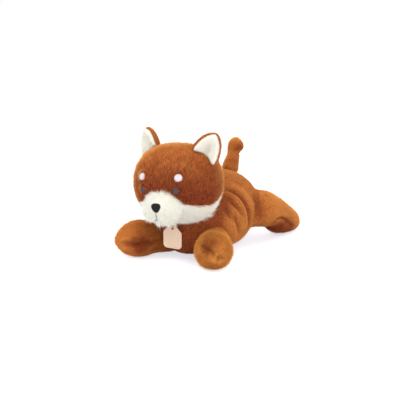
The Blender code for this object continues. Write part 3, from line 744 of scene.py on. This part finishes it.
# Where the skins of torso and hind legs join, how near both solids are and how often it is smoothed
JOIN_REACH = 0.014
JOIN_PASSES = 30
# Height of each lift of a thigh, below and on top, and where it comes in along y, goes out along y
# and comes in along x and z
THIGH_LIFTS = (
    (0.0090, (0.026, 0.044), (0.106, 0.090), (0.012, 0.028), (0.042, 0.004)),
    (0.0030, (0.036, 0.052), (0.112, 0.084), (0.026, 0.040), (0.048, 0.062)),
)


def hull_of(solid):
    """The convex form of a solid, which closes its openings."""
    bm = cad_form(solid)
    hull = bmesh.ops.convex_hull(bm, input=bm.verts)
    spare = set(hull["geom_interior"]) | set(hull["geom_unused"])
    inner = [item for item in spare if isinstance(item, bmesh.types.BMVert)]
    bmesh.ops.delete(bm, geom=inner, context="VERTS")
    keep = {f for f in hull["geom"] if isinstance(f, bmesh.types.BMFace)}
    bmesh.ops.delete(bm, geom=[f for f in bm.faces if f not in keep], context="FACES")
    return bm


def on_toy(trees, pixels):
    """Points of the photo laid on the solids, to a tenth of a millimetre."""
    turn = Euler(VIEW_TURN).to_matrix()
    found = []
    for across, down in pixels:
        x, y = (across / PHOTO_HALF - 1) / 2, (1 - down / PHOTO_HALF) / 2
        way = turn @ Vector((x / FOCAL_SHARE, y / FOCAL_SHARE, -1)).normalized()
        hits = [tree.ray_cast(Vector(VIEW_FROM), way) for tree in trees]
        place, _, _, _ = min((hit for hit in hits if hit[0] is not None), key=lambda hit: hit[3])
        found.append([round(value, 4) for value in place])
    return found


def spread_crease(line, shape, sign=1, share=1.0, swell=0):
    """A crease's line on one side of the toy, with its width, depth, swell and painted shade."""
    width, depth, dark = shape
    return [(sign * x, y, z) for x, y, z in line], width, share * depth, swell, dark


def body_skin():
    """One skin over torso and hind legs, soft where they join, with the folds of its fabric."""
    bm = hull_of("torso_cover")
    for side in SIDE_SIGN:
        mesh = bpy.data.meshes.new("leg")
        write(hull_of(f"hind_leg_{side}_cover"), mesh)
        bm.from_mesh(mesh)
        bpy.data.meshes.remove(mesh)
    skin = soft_skin("torso_skin", bm, *SKIN_GRAIN["torso"])
    to_torso = distance_to(places(skin), ("torso_cover",))
    to_legs = distance_to(places(skin), ("hind_leg_l_cover", "hind_leg_r_cover"))
    near = (to_torso < JOIN_REACH) & (to_legs < JOIN_REACH)
    bm = opened(skin.data)
    bm.verts.ensure_lookup_table()
    soften(bm, [bm.verts[int(index)] for index in np.flatnonzero(near)], JOIN_PASSES)
    write(bm, skin.data)
    move_to(skin, places(skin) - normals(skin) * TORSO_INSET)
    solids = [search(solid) for solid in SOLIDS.values()]
    folds = [(on_toy(solids, pixels), shape) for shape, pixels in FLANK_FOLDS]
    sole = on_toy(solids, SOLE_CREASE)
    creases = [spread_crease(CHEST_FOLD, CHEST_FOLD_SHAPE)]
    for sign, share in ((1, 1), (-1, FAR_SIDE_SHARE)):
        creases += [spread_crease(*fold, sign, share) for fold in folds]
        creases.append(spread_crease(sole, SOLE_CREASE_SHAPE, sign))
    crease_skin(skin, creases)
    found = places(skin)
    x, y, z = np.abs(found[:, 0]), found[:, 1], found[:, 2]
    found[:, 2] += sum(
        height * ease(y, *into) * ease(y, *out) * ease(x, *beside) * ease(z, *level)
        for height, into, out, beside, level in THIGH_LIFTS
    )
    move_to(skin, found)
    return skin


def split_off(body, name):
    """Takes the part of a skin that is nearest to a limb's solid, on the limb's own side, off as a
    skin of its own."""
    own, rest = search(SOLIDS[f"{name}_cover"]), search(SOLIDS["torso_cover"])
    sign = SIDE_SIGN[name[-1]]
    parts = []
    for of_limb in (True, False):
        bm = opened(body.data)
        spare = []
        for face in bm.faces:
            middle = face.calc_center_median()
            nearer = own.find_nearest(middle)[3] < rest.find_nearest(middle)[3]
            if (nearer and middle.x * sign > 0) != of_limb:
                spare.append(face)
        bmesh.ops.delete(bm, geom=spare, context="FACES")
        keep_outside(bm)
        parts.append(bm)
    limb = link(f"{name}_skin", bpy.data.meshes.new(f"{name}_skin"))
    for target, bm in zip((limb, body), parts):
        write(bm, target.data)
        target.data.shade_smooth()
    return limb


def close(skin):
    """Closes a skin where another was split off it, inside the body."""
    bm = opened(skin.data)
    bmesh.ops.holes_fill(bm, edges=bm.edges, sides=0)
    write(bm, skin.data)


def dress_torso(skins, tools, rust):
    torso = skins["torso"]
    found, facing = places(torso), normals(torso)
    x, y, z = found.T
    hidden = np.zeros(len(found), bool)
    for name, skin in skins.items():
        if name != "torso" and not name.startswith("hind_leg"):
            hidden |= depth_in(found, skin) > HIDDEN_DEPTH
    to_head = distance_to(found, ("head_cover", "jaw_panel"))
    to_legs = distance_to(found, ("front_leg_l_cover", "front_leg_r_cover"))
    # Painted shade: on the lit top, on the chest, under the head, by the front legs and behind the jaw
    shaded = {
        "on top": ease(facing[:, 2], 0.3, 0.9),
        "chest": ease(-y, 0.055, 0.075),
        "under head": ease(to_head, 0.032, 0.010) * ease(z, 0.090, 0.074),
        "by legs": ease(to_legs, 0.007, 0.001),
        "behind jaw": ease(y, -0.037, -0.050) * ease(z, 0.072, 0.058),
    }
    tone = TORSO_TONE - sum(TORSO_PAINTED_SHADES[name] * share for name, share in shaded.items())
    way = np.tile(TORSO_NAP, (len(found), 1))
    comb(torso, along_surface(way, facing), np.ones(len(found)), ~hidden, tone)
    piles = []
    for half, on_half in (("left", x > 0), ("right", x <= 0)):
        for end, on_end in (("front", y < 0), ("back", y >= 0)):
            name, seed, share = f"torso_pile_{half}_{end}", 20 + len(piles), on_half & on_end
            piles.append(grow_pile(name, torso, tools, rust, "torso", seed, share))
    for piece in (torso, *piles):
        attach(piece, "torso")
    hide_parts("torso_cover", "torso_filling")


# Head

HEAD_UP = HEAD_ACROSS.cross(Vector((0, 1, 0))).normalized()
HEAD_BACK = HEAD_UP.cross(HEAD_ACROSS)
HEAD_FRAME = np.array([HEAD_ACROSS, HEAD_BACK, HEAD_UP])
HEAD_INSET = 0.0018
# In the head's own frame: where its right side is fuller, its nose and how the nap spreads from it
MUZZLE_SIDE = (-0.0240, -0.0420, -0.0300)
MUZZLE_REACH = 0.0130
MUZZLE_PUFF = 0.0055
NOSE_PLACE = (0, -0.060, -0.0205)
NAP_SPREAD = (0.35, 0.6, 1.0)
# The white plush: middle and half size of the muzzle, and ends, depth and slant of the jaw's band
MUZZLE_MIDDLE = (0, -0.046, -0.0235)
MUZZLE_HALF = (0.0250, 0.024, 0.0185)
BAND_BACK = 0.022
BAND_FRONT = -0.050
BAND_EDGE = (0.0125, 0.003, 0.010)
BAND_SLANT = math.tan(math.radians(54))
BAND_BELOW = 0.011
FACE_PADS = ("eye_l", "eye_r", "brow_spot_l", "brow_spot_r", "nose")
# How near the pads the pile is shorter, how near it leans on them, and how near there is none
PADS_NEAR = (0.001, 0.006)
PADS_RIM = (0.0040, 0.0010)
PADS_BARE = 0.0007
PAD_REACH = 0.012
MOUTH_NEAR = (0.0006, 0.003)
UNDER_JAW = (0.020, 0.040)
TUFT_WAVES = 260
HEAD_HALVES = -0.012


def in_head(found):
    """Points in the head's own frame: across to its left, back and up."""
    return (found - HEAD_MIDDLE) @ HEAD_FRAME.T


def out_of_head(found):
    return np.asarray(found) @ HEAD_FRAME + HEAD_MIDDLE


def white_share(local):
    """1 where the head's plush is white: the muzzle and the band along the jaw."""
    _, y, z = local.T
    muzzle = (((local - MUZZLE_MIDDLE) / MUZZLE_HALF) ** 2).sum(axis=1) < 1
    share = np.clip((BAND_BACK - y) / (BAND_BACK - BAND_FRONT), 0, 1)
    depth, slope, bow = BAND_EDGE
    edge = -(depth + slope * share + bow * np.sin(math.pi * share))
    band = (z < edge) & (-z < (BAND_BACK - y) * BAND_SLANT + BAND_BELOW)
    return (muzzle | band).astype(float)


def head_skin():
    nodes = ("head_cover", "jaw_panel", "head_filling", "muzzle_cover", "muzzle_filling")
    skin = soft_skin("head_skin", cad_form(*nodes), *SKIN_GRAIN["head"])
    found = places(skin)
    away = ease(distance_to(found, FACE_PADS), *PADS_NEAR)
    fuller = MUZZLE_PUFF * bell(apart(in_head(found), MUZZLE_SIDE), MUZZLE_REACH)
    move_to(skin, found + normals(skin) * (away * (fuller - HEAD_INSET))[:, None])
    return skin


def lean_over(found, way, to_pads):
    """Turns the nap next to an eye or a brow spot towards it, so that its edge lies in the pile."""
    near = ease(to_pads, *PADS_RIM)
    for name in FACE_PADS:
        if name != "nose":
            to_middle = places(SOLIDS[name]).mean(axis=0) - found
            distance = np.linalg.norm(to_middle, axis=1, keepdims=True)
            length = np.linalg.norm(way, axis=1, keepdims=True)
            share = near[:, None] * (distance < PAD_REACH)
            way = way * (1 - share) + to_middle / distance * length * share
    return way


def dress_head(skins, tools, rust, white):
    """The pile of the head flows from the nose over the head to its back."""
    head = skins["head"]
    found, facing = places(head), normals(head)
    local = in_head(found)
    is_white = white_share(local)
    spread = (local - NOSE_PLACE) * np.where(is_white[:, None] > 0.5, 1.0, NAP_SPREAD)
    to_pads = distance_to(found, FACE_PADS)
    way = lean_over(found, spread @ HEAD_FRAME, to_pads)
    stitches = np.array([point for line in mouth_lines(head) for point in line])
    to_mouth = np.array([apart(stitches, point).min() for point in found])
    length = 0.45 + 0.55 * ease(to_pads, *PADS_NEAR)
    length = np.minimum(length, 0.15 + 0.85 * ease(to_mouth, *MOUTH_NEAR))
    lower = ease(-local[:, 2], *UNDER_JAW) * is_white
    tufts = np.array([noise.noise(Vector(point) * TUFT_WAVES) for point in found])
    length = length * (1 + lower * (0.9 + 1.6 * tufts) + 0.35 * tufts)
    cover = (depth_in(found, skins["torso"]) <= HIDDEN_DEPTH) & (to_pads > PADS_BARE)
    # Painted light: the pile is lighter higher on the head and where it faces up, darker towards the
    # bottom
    tone = 0.02 + 0.52 * ease(local[:, 2], -0.012, 0.030) + 0.30 * ease(facing[:, 2], 0.4, 0.95)
    tone = np.where(is_white > 0.5, 1.0, tone)
    raised = 0.9 * ease(to_pads, *PADS_RIM) * (distance_to(found, ("nose",)) > 0.004)
    comb(head, along_surface(way, facing) + facing * raised[:, None], length, cover, tone)
    front = (local[:, 1] < HEAD_HALVES).astype(float)
    dark = 1 - is_white
    piles = [
        grow_pile("head_pile_front", head, tools, rust, "head", 1, front * dark),
        grow_pile("head_pile_back", head, tools, rust, "head", 2, (1 - front) * dark),
        grow_pile("face_pile_white", head, tools, white, "white", 3, is_white),
    ]
    paint_white(head, is_white, white)
    for piece in (head, *piles):
        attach(piece, "head")
    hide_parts("head_cover", "jaw_panel", "head_filling", "muzzle_cover", "muzzle_filling")


def paint_white(skin, is_white, white):
    """Gives a skin's faces the white backing where the pile is white."""
    mesh = skin.data
    mesh.materials.append(white)
    for face in mesh.polygons:
        if sum(is_white[index] for index in face.vertices) > 2:
            face.material_index = 1


# Ears

EAR_HIDDEN_DEPTH = 0.002
EAR_LINING_GROWTH = 0.0011
EAR_PUFF = 0.0022
EAR_DIMPLE = {"l": 0.0040, "r": 0.0010}
DIMPLE_WIDTH = 0.0045
# How much painted shade darkens the lining's dimple
DIMPLE_PAINTED_SHADE = 110
EAR_BACK_PUFF = 0.0040
EAR_BACK_TONE = 0.55
EAR_RIM_COVER = 0.9


def ear_frame(side):
    """An ear's base and its frame: across it, the way it opens and up it."""
    joint = JOINT[f"ear_{side}_bend"]
    base = np.array(joint["pos_m"])
    across = np.array(joint["axis"]) / np.linalg.norm(joint["axis"])
    solids = (SOLIDS[f"ear_{part}_{side}"] for part in ("back", "lining"))
    back, lining = (places(solid).mean(axis=0) for solid in solids)
    up = back - base - across * ((back - base) @ across)
    up /= np.linalg.norm(up)
    opening = np.cross(up, across)
    opening *= np.sign(opening @ (lining - back))
    return base, np.array([across, opening, up])


def dress_ear(side, head, tools, rust, white):
    """A rust back with a fringe of pile, and a plump fleece lining with a dimple at its root."""
    base, turn = ear_frame(side)

    def started(part):
        name = f"ear_{part}_{side}"
        skin = soft_skin(f"{name}_skin", cad_form(name), *SKIN_GRAIN[f"ear_{part}"])
        found, facing = places(skin), normals(skin)
        x, _, up = ((found - base) @ turn.T).T
        return skin, found, facing, x, up, np.clip(facing @ turn[1], 0, 1)

    back, found, facing, x, up, rim = started("back")
    puff = EAR_BACK_PUFF * ease(np.abs(x), 0.017, 0.006) * ease(up, 0.026, 0.010)
    found = found - np.outer(np.clip(-facing @ turn[1], 0, 1) * puff, turn[1])
    move_to(back, found)
    shown = depth_in(found, head) <= EAR_HIDDEN_DEPTH
    tone = np.full(len(found), EAR_BACK_TONE)
    comb(back, along_surface(found - base, facing), 1 - 0.5 * rim, shown, tone)
    back.data.materials.append(rust)
    fringe = grow_pile(f"ear_back_{side}_pile", back, tools, rust, "ear_back", 31)

    lining, found, facing, x, up, front = started("lining")
    puff = EAR_PUFF * ease(np.abs(x), 0.018, 0.002)
    trough = EAR_DIMPLE[side] * bell(x, DIMPLE_WIDTH)
    wider = 1 + EAR_RIM_COVER * ease(SIDE_SIGN[side] * x, 0.004, 0.016)
    found = found + facing * (EAR_LINING_GROWTH * wider)[:, None]
    found = found + np.outer(front * (puff - trough * ease(up, 0.019, 0.003)), turn[1])
    move_to(lining, found)
    # Painted shade in the dimple at the lining's root
    tone = 1 - DIMPLE_PAINTED_SHADE * trough * ease(up, 0.013, 0.003)
    shown = depth_in(found, head) < EAR_HIDDEN_DEPTH
    comb(lining, along_surface(found - base, normals(lining)), np.ones(len(found)), shown, tone)
    lining.data.materials.append(white)
    fleece = grow_pile(f"ear_lining_{side}_fleece", lining, tools, white, "ear_fleece", 32)
    for piece in (back, fringe, lining, fleece):
        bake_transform(piece)
    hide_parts(f"ear_back_{side}")
    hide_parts(f"ear_lining_{side}")


# Legs and tail

# Seams across the front paws, and how far beside them the pile parts
PAW_SEAMS = {
    "front_leg_r": mm((-58, -107, 23), (-48, -102, 22), (-41, -96, 21), (-34, -87, 22),
                      (-29, -76, 22)),
    "front_leg_l": mm((53, -101, 34), (63, -104, 31), (71, -104, 27), (76, -100, 23),
                      (78.9, -96.7, 20.8)),
}
# Width, depth and painted shade of each seam, and the swell beside it
PAW_SEAM_SHAPE = (0.0010, 0.0014, 1.1)
PAW_SEAM_SWELL = 0.5
PAW_PARTING = 0.0065
# Where the pile of a front paw stands upright
PAW_MIDDLES = {"front_leg_l": (0.0630, -0.1010, 0.0365), "front_leg_r": (-0.0400, -0.0960, 0.0210)}
PAW_RANGE = (0.0160, 0.004)
# Where the pile of a sole stands upright: its middle, how much each way counts and its range
SOLE_MIDDLE = (0.0540, 0.1000, 0.0110)
SOLE_STRETCH = (0.8, 0.60, 0.9)
SOLE_RANGE = (0.026, 0.010)
# Place, reach and height of the lumps of the tail, and place and reach of its painted shades
TAIL_LUMPS = (
    ((0.0095, 0.0640, 0.1280), 0.0055, 0.0022), ((0.0085, 0.0640, 0.1190), 0.0040, -0.0024),
    ((0.0017, 0.0619, 0.1391), 0.0022, -0.0012), ((0.0065, 0.0540, 0.1235), 0.0040, -0.0012),
    ((0.0094, 0.0571, 0.1054), 0.0050, -0.0010), ((-0.0040, 0.0500, 0.1200), 0.0060, -0.0012),
)
TAIL_PAINTED_SHADES = (
    ((0.0075, 0.0575, 0.1245), 0.0075), ((0.0055, 0.0460, 0.1095), 0.0070),
    ((0.0095, 0.0571, 0.1054), 0.0050),
)
LIMB_INSET = 0.0006
LIMB_DROOP = (0, 0, -0.15)
RAY_WAVES = 6


def limb_skin(name):
    form = cad_form(f"{name}_cover", f"{name}_filling")
    skin = soft_skin(f"{name}_skin", form, *SKIN_GRAIN["limb"])
    found, facing = places(skin), normals(skin)
    found = found - facing * LIMB_INSET
    if name in PAW_SEAMS:
        move_to(skin, found)
        crease_skin(skin, [spread_crease(PAW_SEAMS[name], PAW_SEAM_SHAPE, swell=PAW_SEAM_SWELL)])
        found = places(skin)
    if name == "tail":
        for place, reach, height in TAIL_LUMPS:
            found = found + facing * (height * bell(apart(found, place), reach))[:, None]
    move_to(skin, found)
    return skin


def rays(found, middle, axis):
    """Uneven rays around an axis through a middle, from about -0.5 to 0.5."""
    across = np.cross(axis, (0, 0, 1))
    across /= np.linalg.norm(across)
    other = np.cross(axis, across)
    off = found - middle
    angle = np.arctan2(off @ other, off @ across)
    around = RAY_WAVES * np.stack((np.cos(angle), np.sin(angle), 0 * angle), axis=1)
    return np.array([noise.noise(Vector(point)) for point in around])


def dress_limb(name, skins, tools, rust):
    skin = skins[name]
    joined = name.startswith("hind_leg")
    found, facing = places(skin), normals(skin)
    joint = next(joint for joint in frame["joints"] if joint["child"] == name)
    root = np.array(joint["pos_m"])
    axis = found.mean(axis=0) - root
    axis /= np.linalg.norm(axis)
    way = np.tile(axis, (len(found), 1)) + LIMB_DROOP
    length = np.ones(len(found))
    upright = np.zeros(len(found))
    # Painted light: a little lighter where the pile faces up
    tone = 0.90 + 0.10 * ease(facing[:, 2], -0.1, 0.8)
    if name in PAW_SEAMS:
        way = part_pile(found, way, PAW_SEAMS[name], PAW_PARTING, 2.0)
        distance, _, _ = near_line(found, PAW_SEAMS[name])
        length = 1 + 0.3 * ease(distance, 0.010, 0.002)
        length = length * (1 + 0.5 * ease((found - root) @ axis, 0.015, 0.05))
        upright = 0.7 * ease(apart(found, PAW_MIDDLES[name]), *PAW_RANGE)
        # Painted shade where a front paw's pile stands upright, in uneven rays round its middle
        tone -= upright * (0.95 + 1.3 * rays(found, PAW_MIDDLES[name], axis))
    if name == "front_leg_r":
        # The far paw: less painted shade where its pile stands upright, more towards the body's middle
        tone += 0.35 * upright
        tone -= 0.04 + 0.42 * ease(found[:, 0], -0.056, -0.032)
    if name == "tail":
        # Painted shade by the tail's lumps
        for place, reach in TAIL_PAINTED_SHADES:
            tone -= 0.75 * bell(apart(found, place), reach)
    if joined:
        even = np.abs(found) * (1, 0, 0) + found * (0, 1, 1)
        off = np.linalg.norm((even - SOLE_MIDDLE) * SOLE_STRETCH, axis=1)
        upright = 0.5 * ease(off, *SOLE_RANGE)
        # Painted shade: a little all over, more on the sole where the pile stands upright, and where
        # the leg faces down
        tone -= 0.06 + 1.1 * upright + 0.5 * ease(-facing[:, 2], 0.2, 0.9)
    shown = np.ones(len(found), bool) if joined else depth_in(found, skins["torso"]) < HIDDEN_DEPTH
    nap = along_surface(way, facing) + facing * upright[:, None]
    comb(skin, nap, length * (1 + upright), shown, tone)
    pile = grow_pile(f"{name}_pile", skin, tools, rust, "limb", 6)
    for piece in (skin, pile):
        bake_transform(piece)
    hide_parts(f"{name}_cover", f"{name}_filling")


# Stitches and tag

SATIN_PITCH = 0.00055
SATIN_RADIUS = 0.0003
SATIN_REACH = 0.009
SATIN_STEP = 0.0004
# From how far out of a pad its threads are cast on it, and how far they can fall
SATIN_OUT = 0.008
SATIN_FALL = 0.02
# The mouth in the head's own frame: top and foot of its stem, half width and dip of its smile
MOUTH_TOP = -0.0275
MOUTH_RISE = -0.0362
MOUTH_HALF = 0.0090
MOUTH_DIP = 0.0024
MOUTH_CURL = 0.85
MOUTH_SHIFT = -0.0026
MOUTH_OUT = -0.09
MOUTH_FALL = 0.08
MOUTH_STEPS = 40
MOUTH_THREAD = 0.00042
STITCH_LENGTH = 0.0017
STITCH_GAP = 0.0006
STITCH_LIFT = 0.0010


def make_threads(name, lines, radius, material):
    """Round threads along some lines, as one piece."""
    curve = bpy.data.curves.new(name, "CURVE")
    curve.dimensions = "3D"
    curve.bevel_depth = radius
    curve.bevel_resolution = 1
    curve.use_fill_caps = True
    for line in lines:
        spline = curve.splines.new("POLY")
        spline.points.add(len(line) - 1)
        for point, place in zip(spline.points, line):
            point.co = (*place, 1)
    drawn = link(f"{name}_curve", curve)
    graph = bpy.context.evaluated_depsgraph_get()
    mesh = bpy.data.meshes.new_from_object(drawn.evaluated_get(graph), depsgraph=graph)
    bpy.data.objects.remove(drawn)
    paint(mesh, material)
    mesh.shade_smooth()
    mesh.name = name
    return link(name, mesh)


def satin_threads(pad, upright, material):
    """Threads sewn side by side over a pad, each from edge to edge."""
    solid = SOLIDS[pad]
    tree = search(solid)
    found = places(solid)
    middle = found.mean(axis=0)
    _, ways = np.linalg.eigh(np.cov((found - middle).T))
    out = ways[:, 0] * np.sign(ways[:, 0] @ (middle - HEAD_MIDDLE))
    along = np.array(HEAD_UP if upright else HEAD_ACROSS)
    along = along - out * (along @ out)
    along /= np.linalg.norm(along)
    beside = np.cross(out, along)
    sunk = Vector(out) * SATIN_RADIUS
    lines = []
    for row in np.arange(-SATIN_REACH, SATIN_REACH, SATIN_PITCH):
        line = []
        for step in np.arange(-SATIN_REACH, SATIN_REACH, SATIN_STEP):
            start = Vector(middle + beside * row + along * step + out * SATIN_OUT)
            hit, normal, _, _ = tree.ray_cast(start, Vector(-out), SATIN_FALL)
            if hit is not None and normal.dot(Vector(out)) > 0.1:
                line.append(hit + sunk * 0.5)
        if len(line) > 3:
            line[0] = line[0] - sunk * 2
            line[-1] = line[-1] - sunk * 2
            lines.append(line)
    paint(solid.data, material)
    return make_threads(f"{pad}_threads", lines, SATIN_RADIUS, material)


def mouth_lines(skin):
    """Stitches down from the nose and along the smile, laid on the muzzle."""
    tree = search(skin)
    shares = [step / MOUTH_STEPS for step in range(MOUTH_STEPS + 1)]
    drop = MOUTH_RISE - MOUTH_TOP
    paths = [[(MOUTH_SHIFT * share, MOUTH_TOP + drop * share) for share in shares]]
    heights = [MOUTH_RISE - MOUTH_DIP * math.sin(MOUTH_CURL * math.pi * share) for share in shares]
    for half in (MOUTH_HALF, -MOUTH_HALF):
        paths.append([(MOUTH_SHIFT + half * share, up) for share, up in zip(shares, heights)])
    lines = []
    for path in paths:
        laid = []
        for x, z in path:
            start = Vector(out_of_head([x, MOUTH_OUT, z]))
            hit, normal, _, _ = tree.ray_cast(start, HEAD_BACK, MOUTH_FALL)
            laid.append(hit + normal * STITCH_LIFT)
        stitch = [laid[0]]
        walked = 0.0
        for here, there in zip(laid, laid[1:]):
            walked += (there - here).length
            if walked > STITCH_LENGTH + STITCH_GAP:
                lines.append(stitch)
                stitch = []
                walked = 0.0
            if walked < STITCH_LENGTH:
                stitch.append(there)
        lines.append(stitch)
    return [line for line in lines if len(line) > 1]


def thread_material(name, colour, light):
    """Shiny sewing thread, lighter in places."""
    material, tree, shader = new_material(name)
    place = node(tree, "ShaderNodeTexCoord").outputs["Object"]
    lay = waves(tree, place, 900, 2)["Fac"]
    plug(tree, shader, {
        "Base Color": mixed(tree, lay, colour, light), "Roughness": 0.6, "Specular IOR Level": 0.25,
    })
    return material


def card_material():
    """Uncoated card: a fine fibre grain and slow patches."""
    material, tree, shader = new_material("tag_card")
    place = node(tree, "ShaderNodeTexCoord").outputs["Object"]
    grain = waves(tree, place, 1400, 3)
    cloud = waves(tree, place, 60, 2)["Fac"]
    base = mixed(tree, cloud, (0.61, 0.43, 0.31, 1), (0.72, 0.54, 0.41, 1))
    colour = mixed(tree, 0.18, base, grain["Color"], "SOFT_LIGHT")
    rise = {"Height": grain["Fac"], "Strength": 0.15, "Distance": 0.0002}
    bump = node(tree, "ShaderNodeBump", rise).outputs[0]
    plug(tree, shader, {"Base Color": colour, "Normal": bump, "Roughness": 0.75})
    return material


def sew_face(head):
    grey = thread_material("grey_thread", (0.050, 0.038, 0.042, 1), (0.105, 0.080, 0.086, 1))
    black = thread_material("black_thread", (0.004, 0.004, 0.005, 1), (0.011, 0.011, 0.012, 1))
    pale = thread_material("pale_thread", (0.56, 0.51, 0.57, 1), (0.76, 0.70, 0.75, 1))
    for side in SIDE_SIGN:
        for pad, look, slot in (("eye", grey, "grey_thread"), ("brow_spot", pale, "white_plush")):
            piece = satin_threads(f"{pad}_{side}", False, look)
            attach(piece, "head")
    nose = satin_threads("nose", True, black)
    mouth = make_threads("mouth_stitches", mouth_lines(head), MOUTH_THREAD, black)
    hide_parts("mouth_stitch")
    for piece in (nose, mouth):
        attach(piece, "head")
    paint(SOLIDS["tag"].data, card_material())
    string = thread_material("tag_string", (0.62, 0.46, 0.33, 1), (0.78, 0.62, 0.48, 1))
    paint(SOLIDS["tag_loop"].data, string)


def main():
    make_camera()
    make_light()
    make_floor()
    tools = {"strand": make_strand(), "group": make_pile_group()}
    colours = pile_colour_group()
    looks = {"rust": RUST_BODY, "rust_face": RUST_FACE, "rust_paw": RUST_LIT_PAW, "white": WHITE}
    rust, rust_face, rust_paw, white = (
        pile_material(f"{name}_plush", colours, look) for name, look in looks.items()
    )
    rusts = {"head": rust_face, "front_leg_l": rust_paw}
    skins = {"torso": body_skin(), "head": head_skin(), "tail": limb_skin("tail")}
    for side in SIDE_SIGN:
        skins[f"front_leg_{side}"] = limb_skin(f"front_leg_{side}")
        skins[f"hind_leg_{side}"] = split_off(skins["torso"], f"hind_leg_{side}")
    for name, skin in skins.items():
        skin.data.materials.append(rusts.get(name, rust))
    dress_torso(skins, tools, rust)
    dress_head(skins, tools, rust_face, white)
    for name in skins:
        if name not in ("torso", "head"):
            dress_limb(name, skins, tools, rusts.get(name, rust))
    for name in ("torso", "hind_leg_l", "hind_leg_r"):
        close(skins[name])
    for side in SIDE_SIGN:
        dress_ear(side, skins["head"], tools, rust, white)
    sew_face(skins["head"])
    bpy.data.objects.remove(tools["strand"])
    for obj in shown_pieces():
        print("piece", obj.name, len(obj.data.polygons))


main()
bpy.context.scene.view_settings.view_transform = "Standard"
